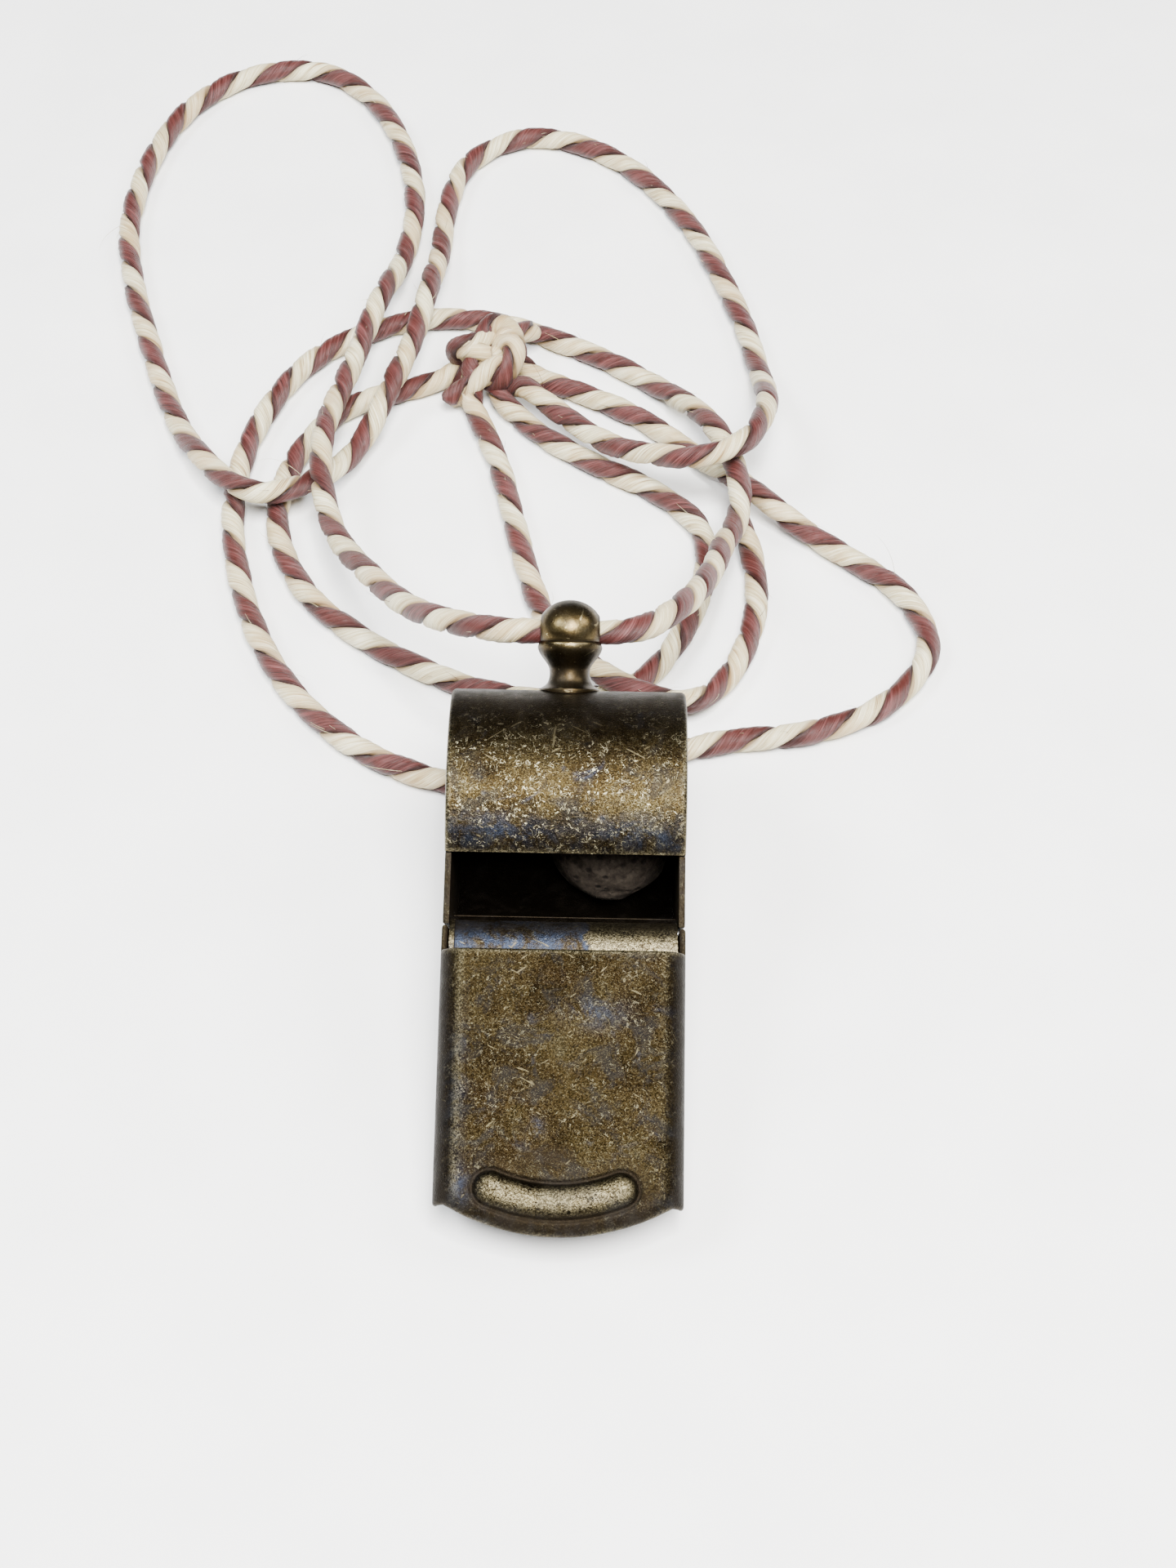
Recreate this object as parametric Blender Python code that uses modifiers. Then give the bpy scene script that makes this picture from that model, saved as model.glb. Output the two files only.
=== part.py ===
"""Brass pea whistle with a twisted two-ply lanyard.

Row frame, metres: +Z up, the whistle lies on z = 0, +X is across it, the
mouthpiece points to -Y and the ball post to +Y.  The origin is the middle of
the whistle's own footprint (lanyard left out).

Lengths below are in millimetres.  A point of the mouthpiece is given as
(x, u, w): u runs from the mouth end towards the barrel along the top plate,
w is up from that plate.
"""
import math

import bmesh
import bpy
import numpy as np
from mathutils import Matrix, Vector

MM = 0.001

# ---- driving dimensions ----------------------------------------------------
WIDTH = 19.5             # overall width of the body
BARREL_R = 9.94          # outside radius of the barrel
SHEET = 0.5              # brass sheet thickness
SLOPE = 22.04            # how far the top plate leans from the table, degrees
MOUTH_H = 6.1            # height of the mouthpiece at the mouth end
MOUTH_SAG = 2.4          # how far the mouth end bulges
EDGE_DROP, EDGE_REACH = 0.55, 1.6   # the mouth edge is turned down a little
FLANGE_RAKE = 2.0        # the flanges are cut back at the mouth
BASE_BACK = 1.9          # base plate behind the cover's edge
PLATE_LEN = 22.5         # mouth end to the window
LIP_ANGLE = 149.7        # where the barrel sheet starts, degrees about its axis
WRAP_END = 201.0         # where it ends, inside the mouthpiece
JOIN_ANGLE = 205.0       # where the base plate meets the barrel
CORNER_R = 2.2           # rounded long edges of the mouthpiece
FLANGE_STEP = 24.9       # the cover's side flanges run on to here
AXIS_U, AXIS_W = 36.97, -10.04   # barrel axis in plate coordinates
POST_ANGLE = 40.0        # ball post above the horizontal
BALL_RHO = 15.0          # barrel axis to ball centre
BALL_R = 2.55             # along the post
BALL_WIDE = 2.78          # across it: the ball is turned a little flat
HOLE_R = 1.36            # cross hole in the ball
PEA_R = 5.3
PEA_ORBIT = 3.95         # barrel axis to pea centre
PEA_X = 3.65
CORD_D = 2.2
SHIFT_Y = 11.97          # barrel axis ahead of the middle of the footprint

TH = math.radians(SLOPE)
CU, SU = math.cos(TH), math.sin(TH)
HALF = WIDTH / 2.0
AXIS_Y, AXIS_Z = SHIFT_Y, BARREL_R
PLATE_Y = AXIS_Y - AXIS_U * CU + AXIS_W * SU
PLATE_Z = AXIS_Z - AXIS_U * SU - AXIS_W * CU


def on_plate(x, u, w):
    """Plate coordinates to the row frame, both in mm."""
    return (x, PLATE_Y + u * CU - w * SU, PLATE_Z + u * SU + w * CU)


def on_barrel(x, r, degrees):
    a = math.radians(degrees)
    return (x, AXIS_Y + r * math.cos(a), AXIS_Z + r * math.sin(a))


def plate_of(y, z):
    """The row frame to plate coordinates (u, w)."""
    return (
        (y - PLATE_Y) * CU + (z - PLATE_Z) * SU,
        -(y - PLATE_Y) * SU + (z - PLATE_Z) * CU,
    )


JOIN_U, JOIN_W = plate_of(*on_barrel(0, BARREL_R, JOIN_ANGLE)[1:])


def base_w(u):
    """Underside of the mouthpiece, as w at u."""
    return -MOUTH_H + (JOIN_W + MOUTH_H) * u / JOIN_U


def mouth_u(x):
    """The bulging mouth end: where the metal starts, as u at x."""
    return MOUTH_SAG * min(abs(x) / 9.0, 1.0) ** 2


def edge_drop(x, u):
    d = max(0.0, u - mouth_u(x)) / EDGE_REACH
    return EDGE_DROP * (1.0 - d) ** 2 if d < 1.0 else 0.0


# ---- scene -------------------------------------------------------------------
for old in list(bpy.data.objects):
    bpy.data.objects.remove(old, do_unlink=True)

whistle = bpy.data.collections.new("pea_whistle")
cutters = bpy.data.collections.new("cutters")
bpy.context.scene.collection.children.link(whistle)
bpy.context.scene.collection.children.link(cutters)


def material(name, colour, metallic, roughness):
    m = bpy.data.materials.new(name)
    m.use_nodes = True
    bsdf = m.node_tree.nodes["Principled BSDF"]
    bsdf.inputs["Base Color"].default_value = (*colour, 1.0)
    bsdf.inputs["Metallic"].default_value = metallic
    bsdf.inputs["Roughness"].default_value = roughness
    return m


BRASS = (0.36, 0.27, 0.11)
CREAM = (0.78, 0.72, 0.56)


def add(name, points, faces, mat, where=None):
    mesh = bpy.data.meshes.new(name)
    mesh.from_pydata([[c * MM for c in p] for p in points], [], faces)
    bm = bmesh.new()
    bm.from_mesh(mesh)
    bmesh.ops.recalc_face_normals(bm, faces=bm.faces)
    bm.to_mesh(mesh)
    bm.free()
    mesh.materials.append(mat)
    obj = bpy.data.objects.new(name, mesh)
    (where or whistle).objects.link(obj)
    return obj


def sweep(rings, closed=False):
    """Rings of equally many points joined into one closed skin."""
    n = len(rings[0])
    points = [p for ring in rings for p in ring]
    faces = []
    count = len(rings)
    for i in range(count if closed else count - 1):
        j = (i + 1) % count
        for k in range(n):
            m = (k + 1) % n
            faces.append((i * n + k, i * n + m, j * n + m, j * n + k))
    if not closed:
        faces.append(tuple(range(n - 1, -1, -1)))
        faces.append(tuple((count - 1) * n + k for k in range(n)))
    return points, faces


def cut(obj, cutter):
    cutter.hide_render = True
    cutter.display_type = "WIRE"
    mod = obj.modifiers.new("cut_" + cutter.name, "BOOLEAN")
    mod.operation = "DIFFERENCE"
    mod.solver = "EXACT"
    mod.object = cutter


# ---- barrel sheet: one strip from the lip round to inside the mouthpiece -----
def barrel_wrap():
    edge = 0.30
    profile = [
        (-HALF, BARREL_R - SHEET),
        (-HALF, BARREL_R - edge),
        (-HALF + 0.09, BARREL_R - 0.09),
        (-HALF + edge, BARREL_R),
        (HALF - edge, BARREL_R),
        (HALF - 0.09, BARREL_R - 0.09),
        (HALF, BARREL_R - edge),
        (HALF, BARREL_R - SHEET),
    ]
    span = 360.0 - (WRAP_END - LIP_ANGLE)
    steps = 68
    rings = []
    for i in range(steps + 1):
        a = LIP_ANGLE - span * i / steps
        rings.append([on_barrel(x, r, a) for x, r in profile])
    # the lip is dressed to a thin edge
    rings[0] = [on_barrel(x, BARREL_R - SHEET + (r - BARREL_R + SHEET) * 0.8, LIP_ANGLE) for x, r in profile]
    points, faces = sweep(rings)
    return add("barrel_wrap", points, faces, material("barrel_brass", BRASS, 1.0, 0.42))


# ---- side plates --------------------------------------------------------------
def cheek(name, side):
    gap = 0.08
    r_in = BARREL_R - SHEET - gap
    outline = []
    first, last = 360.0 - (360.0 - WRAP_END) + 8.0, 360.0 + LIP_ANGLE - 0.3
    steps = 60
    for i in range(steps + 1):
        outline.append(on_barrel(0, r_in, first + (last - first) * i / steps)[1:])
    outline.append(on_barrel(0, BARREL_R - SHEET + 0.1, LIP_ANGLE + 0.9)[1:])
    outline.append(on_barrel(0, BARREL_R - 0.12, LIP_ANGLE + 0.9)[1:])
    outline.append(on_plate(0, FLANGE_STEP + 0.6, -2.25)[1:])
    outline.append(on_plate(0, FLANGE_STEP + 0.12, -2.45)[1:])
    bottom = (JOIN_U - 0.55)
    outline.append(on_plate(0, bottom, base_w(bottom) + 0.12)[1:])
    outline.append(on_barrel(0, BARREL_R + 0.1, WRAP_END + 2.6)[1:])
    outline.append(on_barrel(0, BARREL_R + 0.1, WRAP_END - 0.7)[1:])
    outline.append(on_barrel(0, r_in, WRAP_END - 0.7)[1:])
    # the wrap's end is left free, so the outline steps round it
    outer, inner = HALF - 0.05, HALF - 0.05 - SHEET
    rings = [
        [(side * x, y, z) for y, z in outline]
        for x in (inner, outer)
    ]
    points, faces = sweep(rings)
    obj = add(name, points, faces, material(name + "_brass", BRASS, 1.0, 0.42))
    bevel = obj.modifiers.new("edge", "BEVEL")
    bevel.width = 0.06 * MM
    bevel.segments = 1
    bevel.limit_method = "ANGLE"
    bevel.angle_limit = math.radians(60)
    return obj


# ---- embossed bite rib ----------------------------------------------------------
RIB_X, RIB_U, RIB_ARC = -0.2, 2.62, 13.3
RIB_HALF, RIB_H, RIB_REACH = 1.27, 0.5, 5.05


def rib_distance(x, u):
    cx, cu = x - RIB_X, u - (RIB_U + RIB_ARC)
    reach = math.asin(RIB_REACH / RIB_ARC)
    phi = math.atan2(cx, -cu)
    if abs(phi) < reach:
        return abs(math.hypot(cx, cu) - RIB_ARC)
    s = math.copysign(1.0, phi)
    return math.hypot(cx - s * RIB_ARC * math.sin(reach), cu + RIB_ARC * math.cos(reach))


def rib_height(x, u):
    t = rib_distance(x, u) / RIB_HALF
    return RIB_H * math.sqrt(max(0.0, 1.0 - t * t)) if t < 1.0 else 0.0


# ---- mouthpiece cover: top plate, rounded long edges, side flanges ----------------
def cover_section():
    """Left flange foot to right flange foot: (kind, value) pairs."""
    half_flat = HALF - CORNER_R
    left = [("flange", f) for f in (1.0, 0.5, 0.06, 0.0)]
    left += [("round", a) for a in (165, 150, 135, 120, 105, 93)]
    n = 34
    flat = [("flat", -half_flat + 2 * half_flat * i / n) for i in range(n + 1)]
    right = [(k, 180 - v if k == "round" else -v if v else -0.0) for k, v in reversed(left)]
    return left + flat + right


def cover_point(kind, value, t, off, side):
    """A point of the cover at share t of its length, off mm in from the outside."""
    half_flat = HALF - CORNER_R
    if kind == "flat":
        x, w, n = value, 0.0, (0.0, 1.0)
        u0, u1 = mouth_u(x), PLATE_LEN
    elif kind == "round":
        a = math.radians(value)
        n = (math.cos(a), math.sin(a))
        x = math.copysign(half_flat, n[0]) + CORNER_R * n[0]
        w = -CORNER_R + CORNER_R * n[1]
        u0, u1 = mouth_u(x), PLATE_LEN + 0.25 * (1 - n[1])
    else:
        f = abs(value)
        x, n = side * HALF, (float(side), 0.0)
        u0 = MOUTH_SAG + FLANGE_RAKE * f
        u1 = FLANGE_STEP if f < 0.5 else FLANGE_STEP + (JOIN_U - 0.85 - FLANGE_STEP) * (f - 0.06) / 0.94
        if f == 0.0:
            u1 = PLATE_LEN + 0.25
        u = u0 + (u1 - u0) * t
        top = -CORNER_R
        if f == 0.5:
            u1 = FLANGE_STEP + (JOIN_U - 0.85 - FLANGE_STEP) * 0.47
            u = u0 + (u1 - u0) * t
        w = top + (base_w(u) - top) * f
        return (x - off * n[0], u, w)
    u = u0 + (u1 - u0) * t
    lift = (rib_height(x, u) if kind == "flat" else 0.0) - edge_drop(x, u) * n[1]
    return (x - off * n[0], u, w - off * n[1] + lift)


def mouthpiece_cover():
    ts = [0.0, 0.03, 0.055, 0.075, 0.095, 0.115, 0.135, 0.155, 0.175, 0.195, 0.215, 0.24, 0.3, 0.5, 0.75, 1.0]
    section = cover_section()
    rings = []
    for t in ts:
        outer = []
        inner = []
        for i, (kind, value) in enumerate(section):
            side = -1 if i < len(section) / 2 else 1
            outer.append(on_plate(*cover_point(kind, value, t, 0.0, side)))
            inner.append(on_plate(*cover_point(kind, value, t, SHEET, side)))
        rings.append(outer + inner[::-1])
    points, faces = sweep(rings)
    # the two end caps are rows of quads, not one large polygon
    faces = faces[:-2]
    n = len(section)
    last = (len(ts) - 1) * 2 * n
    for i in range(n - 1):
        a, b, c, d = i, i + 1, 2 * n - 2 - i, 2 * n - 1 - i
        faces.append((d, c, b, a))
        faces.append((last + a, last + b, last + c, last + d))
    return add("mouthpiece_cover", points, faces, material("cover_brass", BRASS, 1.0, 0.4))


# ---- mouthpiece base plate ----------------------------------------------------------
def mouthpiece_base():
    inset = HALF - SHEET - 0.1
    n = 20
    xs = [-inset + 2 * inset * i / n for i in range(n + 1)]
    end_u = JOIN_U - 0.16
    rings = []
    for x in xs:
        u0 = mouth_u(x) + BASE_BACK
        ring = []
        for u, up in ((u0, 0.0), (end_u, 0.0), (end_u - 0.08, SHEET), (u0 + 0.1, SHEET)):
            ring.append(on_plate(x, u, base_w(u) + up))
        rings.append(ring)
    points, faces = sweep(rings)
    return add("mouthpiece_base", points, faces, material("base_brass", BRASS, 1.0, 0.45))


# ---- windway floor: slopes up under the cover, rounds over, and walls off the barrel --
def floor_line():
    """Middle of the sheet, as (u, w)."""
    r = 2.2
    nose_u, nose_w = 25.35, -1.75
    line = [(3.4, -5.6), (8.0, -4.72), (14.0, -3.52), (19.0, -2.47), (21.2, -1.97), (22.3, nose_w)]
    for i in range(9):
        a = math.radians(90 - 90 * i / 8 * 0.92)
        line.append((nose_u - r + r * math.cos(a), nose_w - r + r * math.sin(a)))
    line += [(26.0, -7.0), (26.55, -9.7)]
    return line


def offset_line(line, by):
    out = []
    for i, p in enumerate(line):
        a = Vector(line[max(i - 1, 0)])
        b = Vector(line[min(i + 1, len(line) - 1)])
        d = (b - a).normalized()
        out.append((p[0] - d.y * by, p[1] + d.x * by))
    return out


def windway_floor():
    inset = HALF - SHEET - 0.16
    line = floor_line()
    above = offset_line(line, SHEET / 2)
    below = offset_line(line, -SHEET / 2)
    outline = above + below[::-1]
    rings = [[on_plate(x, u, w) for u, w in outline] for x in (-inset, inset)]
    points, faces = sweep(rings)
    faces = faces[:-2]
    n = len(line)
    m = len(outline)
    for i in range(n - 1):
        a, b, c, d = i, i + 1, m - 2 - i, m - 1 - i
        faces.append((d, c, b, a))
        faces.append((m + a, m + b, m + c, m + d))
    return add("windway_floor", points, faces, material("floor_brass", BRASS, 1.0, 0.4))


# ---- turned ball post ------------------------------------------------------------------
def post_profile():
    """(height above the barrel, radius), from inside the barrel sheet to the top."""
    c = BALL_RHO - BARREL_R
    line = [
        (-0.45, 0.0), (-0.45, 2.45), (0.10, 2.52), (0.22, 2.36), (0.42, 2.04), (0.80, 1.78), (1.30, 1.68), (1.80, 1.70),
        (2.15, 1.87), (2.50, 2.12), (2.83, 2.38), (3.20, 2.60), (3.62, 2.73), (3.92, 2.71),
        (4.02, 2.66), (4.09, 2.58), (4.16, 2.58),
    ]
    first = math.asin((4.26 - c) / BALL_R)
    for i in range(14):
        a = first + (math.pi / 2 - first) * i / 13
        line.append((c + BALL_R * math.sin(a), BALL_WIDE * math.cos(a) if i < 13 else 0.0))
    return line


def loop_post():
    """Turned on its own axis, then stood on the barrel and drilled across."""
    a = math.radians(POST_ANGLE)
    out = Vector((0, math.cos(a), math.sin(a)))
    centre = Vector((0, AXIS_Y, AXIS_Z))
    mesh = bpy.data.meshes.new("loop_post")
    profile = [(r * MM, 0.0, (BARREL_R + h) * MM) for h, r in reversed(post_profile())]
    mesh.from_pydata(profile, [(i, i + 1) for i in range(len(profile) - 1)], [])
    mesh.materials.append(material("post_brass", BRASS, 1.0, 0.3))
    obj = bpy.data.objects.new("loop_post", mesh)
    obj.location = centre * MM
    obj.rotation_euler = (a - math.pi / 2, 0, 0)
    whistle.objects.link(obj)
    turn = obj.modifiers.new("turned", "SCREW")
    turn.steps = turn.render_steps = 32
    turn.use_merge_vertices = True
    turn.merge_threshold = 0.000002
    turn.use_smooth_shade = True
    ball = centre + out * BALL_RHO
    cut(obj, rod("post_hole_cutter", ball, HOLE_R, 8.0, 28))
    cut(obj, rod("post_saddle_cutter", centre, BARREL_R + 0.05, 30.0, 96))
    return obj


def rod(name, centre, radius, length, segments):
    """A cutter along X."""
    bm = bmesh.new()
    bmesh.ops.create_cone(bm, cap_ends=True, segments=segments, radius1=radius * MM, radius2=radius * MM, depth=length * MM)
    mesh = bpy.data.meshes.new(name)
    bm.to_mesh(mesh)
    bm.free()
    obj = bpy.data.objects.new(name, mesh)
    obj.location = centre * MM
    obj.rotation_euler = (0, math.pi / 2, 0)
    obj.hide_render = True
    obj.display_type = "WIRE"
    cutters.objects.link(obj)
    return obj


# ---- cork pea ----------------------------------------------------------------------------
def cork_pea():
    """A cork ball; its origin is on the barrel axis that it circles."""
    bm = bmesh.new()
    bmesh.ops.create_icosphere(bm, subdivisions=4, radius=PEA_R * MM)
    for v in bm.verts:
        n = v.co.normalized()
        dent = 0.018 * math.sin(5 * n.x + 2 * n.y) * math.sin(4 * n.y - 3 * n.z) + 0.012 * math.sin(9 * n.z + 7 * n.x)
        v.co = n * PEA_R * MM * (0.985 + min(dent, 0.015))
        v.co += Vector((PEA_X * MM, 0, -PEA_ORBIT * MM))
    mesh = bpy.data.meshes.new("cork_pea")
    bm.to_mesh(mesh)
    bm.free()
    mesh.materials.append(material("cork", (0.55, 0.38, 0.22), 0.0, 0.85))
    obj = bpy.data.objects.new("cork_pea", mesh)
    obj.location = (0, AXIS_Y * MM, AXIS_Z * MM)
    whistle.objects.link(obj)
    return obj


# ---- lanyard -------------------------------------------------------------------------------
# Route points (x, y, height it is held at; 0 where it lies on what is below).
BALL_Y = AXIS_Y + BALL_RHO * math.cos(math.radians(POST_ANGLE))
BALL_Z = AXIS_Z + BALL_RHO * math.sin(math.radians(POST_ANGLE))
KNOT = (-8.8, 75.3, 3.2)
KNOT_SIZE = (4.3, 3.5, 3.1)
ROUTES = {
    "lanyard_left": [
        (0, BALL_Y, BALL_Z), (-3.4, BALL_Y + 0.02, BALL_Z - 0.02), (-6.8, 24.3, 19.0), (-10.6, 26.9, 17.0),
        (-14.5, 32, 13.0), (-18.6, 39.4, 9.4),
        (-21.8, 46, 6.4), (-23.8, 52.5, 4.4), (-24.6, 58, 0), (-24.4, 65, 0), (-23, 73, 0), (-21, 82.5, 0), (-19, 92, 0),
        (-18.2, 102, 0), (-20, 112, 0), (-24, 120.5, 0), (-30, 125.5, 0), (-38, 124.5, 0), (-44.2, 118.5, 0),
        (-47.6, 109, 0), (-48.6, 98, 0), (-47, 88.5, 0), (-44.5, 80, 0), (-41.5, 71, 0), (-38, 63, 0),
        (-34, 57, 0), (-29.5, 55, 0), (-24.5, 58.5, 0), (-20, 67, 0), (-16.8, 78.5, 0), (-15.2, 91, 0),
        (-14.6, 102, 0), (-12.6, 109.5, 0), (-7, 114, 0), (-0.5, 113.2, 0), (6, 108.2, 0), (11.6, 99.5, 0),
        (15, 90.5, 0), (17.5, 81.5, 0), (18.7, 72.5, 0), (18.4, 65, 0), (16.2, 59.2, 0), (11.4, 57.2, 0), (6.6, 59.6, 0),
        (2, 63.4, 0), (-2, 67.7, 0), (-5.2, 71.4, 0),
    ],
    "lanyard_right": [
        (0, BALL_Y, BALL_Z), (3.4, BALL_Y + 0.02, BALL_Z - 0.02), (6.6, 25.0, 18.9), (9.2, 28.9, 16.8), (11.2, 34, 13.8), (12.8, 40, 10.4),
        (14, 46.4, 7.2), (15.8, 55, 0), (13.5, 64.5, 0), (9.5, 72, 0), (4.5, 76.6, 0), (-1.5, 80.2, 0),
        (-8, 83, 0), (-14.5, 83.7, 0), (-21, 81.8, 0), (-27, 77.2, 0), (-30.8, 70.5, 0), (-33, 62, 0),
        (-33, 52.5, 0), (-30.5, 42, 0), (-26.8, 34, 0), (-22.5, 28.5, 0), (-17.2, 24.3, 0), (-10, 21.6, 0),
        (-2, 21.9, 0), (6, 24.6, 0), (14, 27, 0), (22, 28.4, 0), (29, 32, 0), (33.2, 38.6, 0), (31.4, 45.4, 0),
        (26, 50.6, 0), (19.5, 55.7, 0), (13, 62.4, 0), (7, 68.6, 0), (0.6, 72.6, 0), (-3.8, 74.6, 0),
    ],
    "lanyard_ring": [
        (-13.6, 74.6, 0), (-17.2, 72.8, 0), (-23, 70, 0), (-27.6, 63, 0), (-28.8, 53.5, 0), (-25.5, 44.8, 0),
        (-19.8, 39, 0), (-13.6, 35, 0), (-7.5, 32.4, 0), (-0.5, 31.6, 0), (5.8, 33.6, 0), (9.7, 39, 0),
        (12.3, 46.5, 0), (12.2, 53.6, 0), (8, 58.6, 0), (2, 62.4, 0), (-3.6, 66.6, 0), (-7.2, 70.7, 0),
    ],
    "lanyard_tail": [
        (-11.0, 71.4, 0), (-9.8, 68.4, 0), (-7.6, 62, 0), (-5.8, 54, 0), (-4, 46.2, 0), (-1.2, 38, 0),
        (4, 31.9, 0), (10.4, 30.6, 0), (14.8, 35.4, 0), (17.2, 43, 0), (17, 50.6, 0), (15.4, 56.6, 0),
    ],
}
DEPOSIT = ["lanyard_ring", "lanyard_tail", "lanyard_right", "lanyard_left"]
CLEAR = 2.8               # centre to centre where one strand lies on another
HUMP_R, HUMP_SLOPE = 16.0, 0.6


def smooth_route(points, step):
    p = np.array(points, float)
    q = np.vstack([2 * p[0] - p[1], p, 2 * p[-1] - p[-2]])
    out = []
    for i in range(1, len(q) - 2):
        p0, p1, p2, p3 = q[i - 1:i + 3]
        t = np.linspace(0, 1, 24, endpoint=False)[:, None]
        out.append(0.5 * (2 * p1 + (p2 - p0) * t + (2 * p0 - 5 * p1 + 4 * p2 - p3) * t ** 2 + (3 * p1 - p0 - 3 * p2 + p3) * t ** 3))
    out = np.vstack(out + [p[-1:]])
    s = np.r_[0, np.cumsum(np.linalg.norm(np.diff(out[:, :2], axis=0), axis=1))]
    n = max(int(round(s[-1] / step)), 2)
    t = np.linspace(0, s[-1], n + 1)
    return np.stack([np.interp(t, s, out[:, k]) for k in range(3)], 1)


def settle(routes, order, radius, step=1.0):
    """Lay the strands down in order, each resting on those below it."""
    tracks = []
    for name in order:
        t = smooth_route(routes[name], step)
        tracks.append(t[::-1] if t[0, 2] > 5 else t)
    xy = np.vstack([t[:, :2] for t in tracks])
    held = np.concatenate([t[:, 2] for t in tracks])
    cord = np.concatenate([np.full(len(t), i) for i, t in enumerate(tracks)])
    pos = np.concatenate([np.arange(len(t)) * step for t in tracks])
    d2 = ((xy[:, None] - xy[None]) ** 2).sum(-1)
    k = np.arange(len(xy))
    lower, upper = np.nonzero((d2 < CLEAR * CLEAR) & (k[:, None] < k[None]))
    ok = ((cord[lower] != cord[upper]) | (np.abs(pos[lower] - pos[upper]) > 9)) & ~((held[lower] > 15) & (held[upper] > 15))
    lower, upper = lower[ok], upper[ok]
    lift = np.sqrt(CLEAR * CLEAR - d2[lower, upper])
    z = np.full(len(xy), radius)
    for _ in range(40):
        before = z.copy()
        need = np.full(len(xy), radius)
        np.maximum.at(need, upper, np.maximum(z, held)[lower] + lift)
        for i in range(len(tracks)):
            own = np.nonzero(cord == i)[0]
            away = np.abs(pos[own][:, None] - pos[own][None])
            turn = HUMP_R * HUMP_SLOPE
            drop = np.where(away < turn, away ** 2 / (2 * HUMP_R), HUMP_SLOPE * away - turn * HUMP_SLOPE / 2)
            z[own] = (need[own][None] - drop).max(1)
        if np.abs(z - before).max() < 0.01:
            break
    z = np.maximum(z, held)
    done = {}
    for i, name in enumerate(order):
        own = np.nonzero(cord == i)[0]
        line = np.column_stack([xy[own], z[own]])
        w = np.array([1, 2, 3, 4, 3, 2, 1]) / 16.0
        for _ in range(3):
            line[:, 2] = np.maximum(np.convolve(np.pad(line[:, 2], 3, mode="edge"), w, mode="valid"), radius)
        done[name] = line[::-1] if routes[name][0][2] > 5 else line
    return done


def lanyard():
    settled = settle(ROUTES, DEPOSIT, CORD_D / 2)
    colours = {"lanyard_left": CREAM, "lanyard_right": (0.74, 0.66, 0.5), "lanyard_ring": (0.6, 0.3, 0.28), "lanyard_tail": (0.7, 0.6, 0.45)}
    for name, line in settled.items():
        count = int(round(len(line) / 4.7))
        pick = np.round(np.linspace(0, len(line) - 1, count)).astype(int)
        pts = line[pick].copy()
        if ROUTES[name][0][2] > 5:     # both main strands start in the ball's hole
            pts[0, 0] += 0.4 if pts[1, 0] > 0 else -0.4
        pts[:, 2] = np.maximum(pts[:, 2], CORD_D / 2 + 0.02)
        curve = bpy.data.curves.new(name, "CURVE")
        curve.dimensions = "3D"
        curve.bevel_depth = CORD_D / 2 * MM
        curve.bevel_resolution = 2
        curve.use_fill_caps = True
        spline = curve.splines.new("POLY")
        spline.points.add(len(pts) - 1)
        for point, p in zip(spline.points, pts):
            point.co = (p[0] * MM, p[1] * MM, p[2] * MM, 1.0)
        curve.materials.append(material(name + "_cord", colours[name], 0.0, 0.7))
        whistle.objects.link(bpy.data.objects.new(name, curve))


def lanyard_knot():
    """Where the four ends are tied: a turned lump with the wraps showing."""
    rings = []
    rows, cols = 18, 36
    for i in range(rows + 1):
        th = math.pi * (i + 0.02) / (rows + 0.04)
        ring = []
        for k in range(cols):
            ph = 2 * math.pi * k / cols
            r = 1.0 + 0.05 * math.cos(3 * ph + 5 * th) * math.sin(th)
            ring.append((
                KNOT[0] + KNOT_SIZE[0] * r * math.sin(th) * math.cos(ph),
                KNOT[1] + KNOT_SIZE[1] * r * math.sin(th) * math.sin(ph),
                max(KNOT[2] + KNOT_SIZE[2] * r * math.cos(th), 0.02 + 0.001 * i),
            ))
        rings.append(ring)
    points, faces = sweep(rings)
    return add("lanyard_knot", points, faces, material("knot_cord", CREAM, 0.0, 0.75))


barrel_wrap()
cheek("cheek_left", -1)
cheek("cheek_right", 1)
mouthpiece_cover()
mouthpiece_base()
windway_floor()
loop_post()
cork_pea()
lanyard()
lanyard_knot()
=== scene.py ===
"""Aged brass pea whistle on its two-ply lanyard: the visual model."""
import math

import bmesh
import bpy
import numpy as np
from mathutils import Matrix, Vector, noise


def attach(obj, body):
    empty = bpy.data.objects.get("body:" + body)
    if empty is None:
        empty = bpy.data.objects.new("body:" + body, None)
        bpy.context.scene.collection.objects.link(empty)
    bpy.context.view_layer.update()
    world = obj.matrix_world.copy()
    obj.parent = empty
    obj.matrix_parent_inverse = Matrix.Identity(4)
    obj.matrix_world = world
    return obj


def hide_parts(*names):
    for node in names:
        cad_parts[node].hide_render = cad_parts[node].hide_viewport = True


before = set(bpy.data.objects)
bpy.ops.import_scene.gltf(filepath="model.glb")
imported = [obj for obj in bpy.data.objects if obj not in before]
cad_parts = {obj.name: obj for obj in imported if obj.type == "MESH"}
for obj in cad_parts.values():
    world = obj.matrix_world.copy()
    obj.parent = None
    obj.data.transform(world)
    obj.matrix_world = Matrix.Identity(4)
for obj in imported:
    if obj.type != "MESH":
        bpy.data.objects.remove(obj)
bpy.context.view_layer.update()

MM = 0.001

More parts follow.
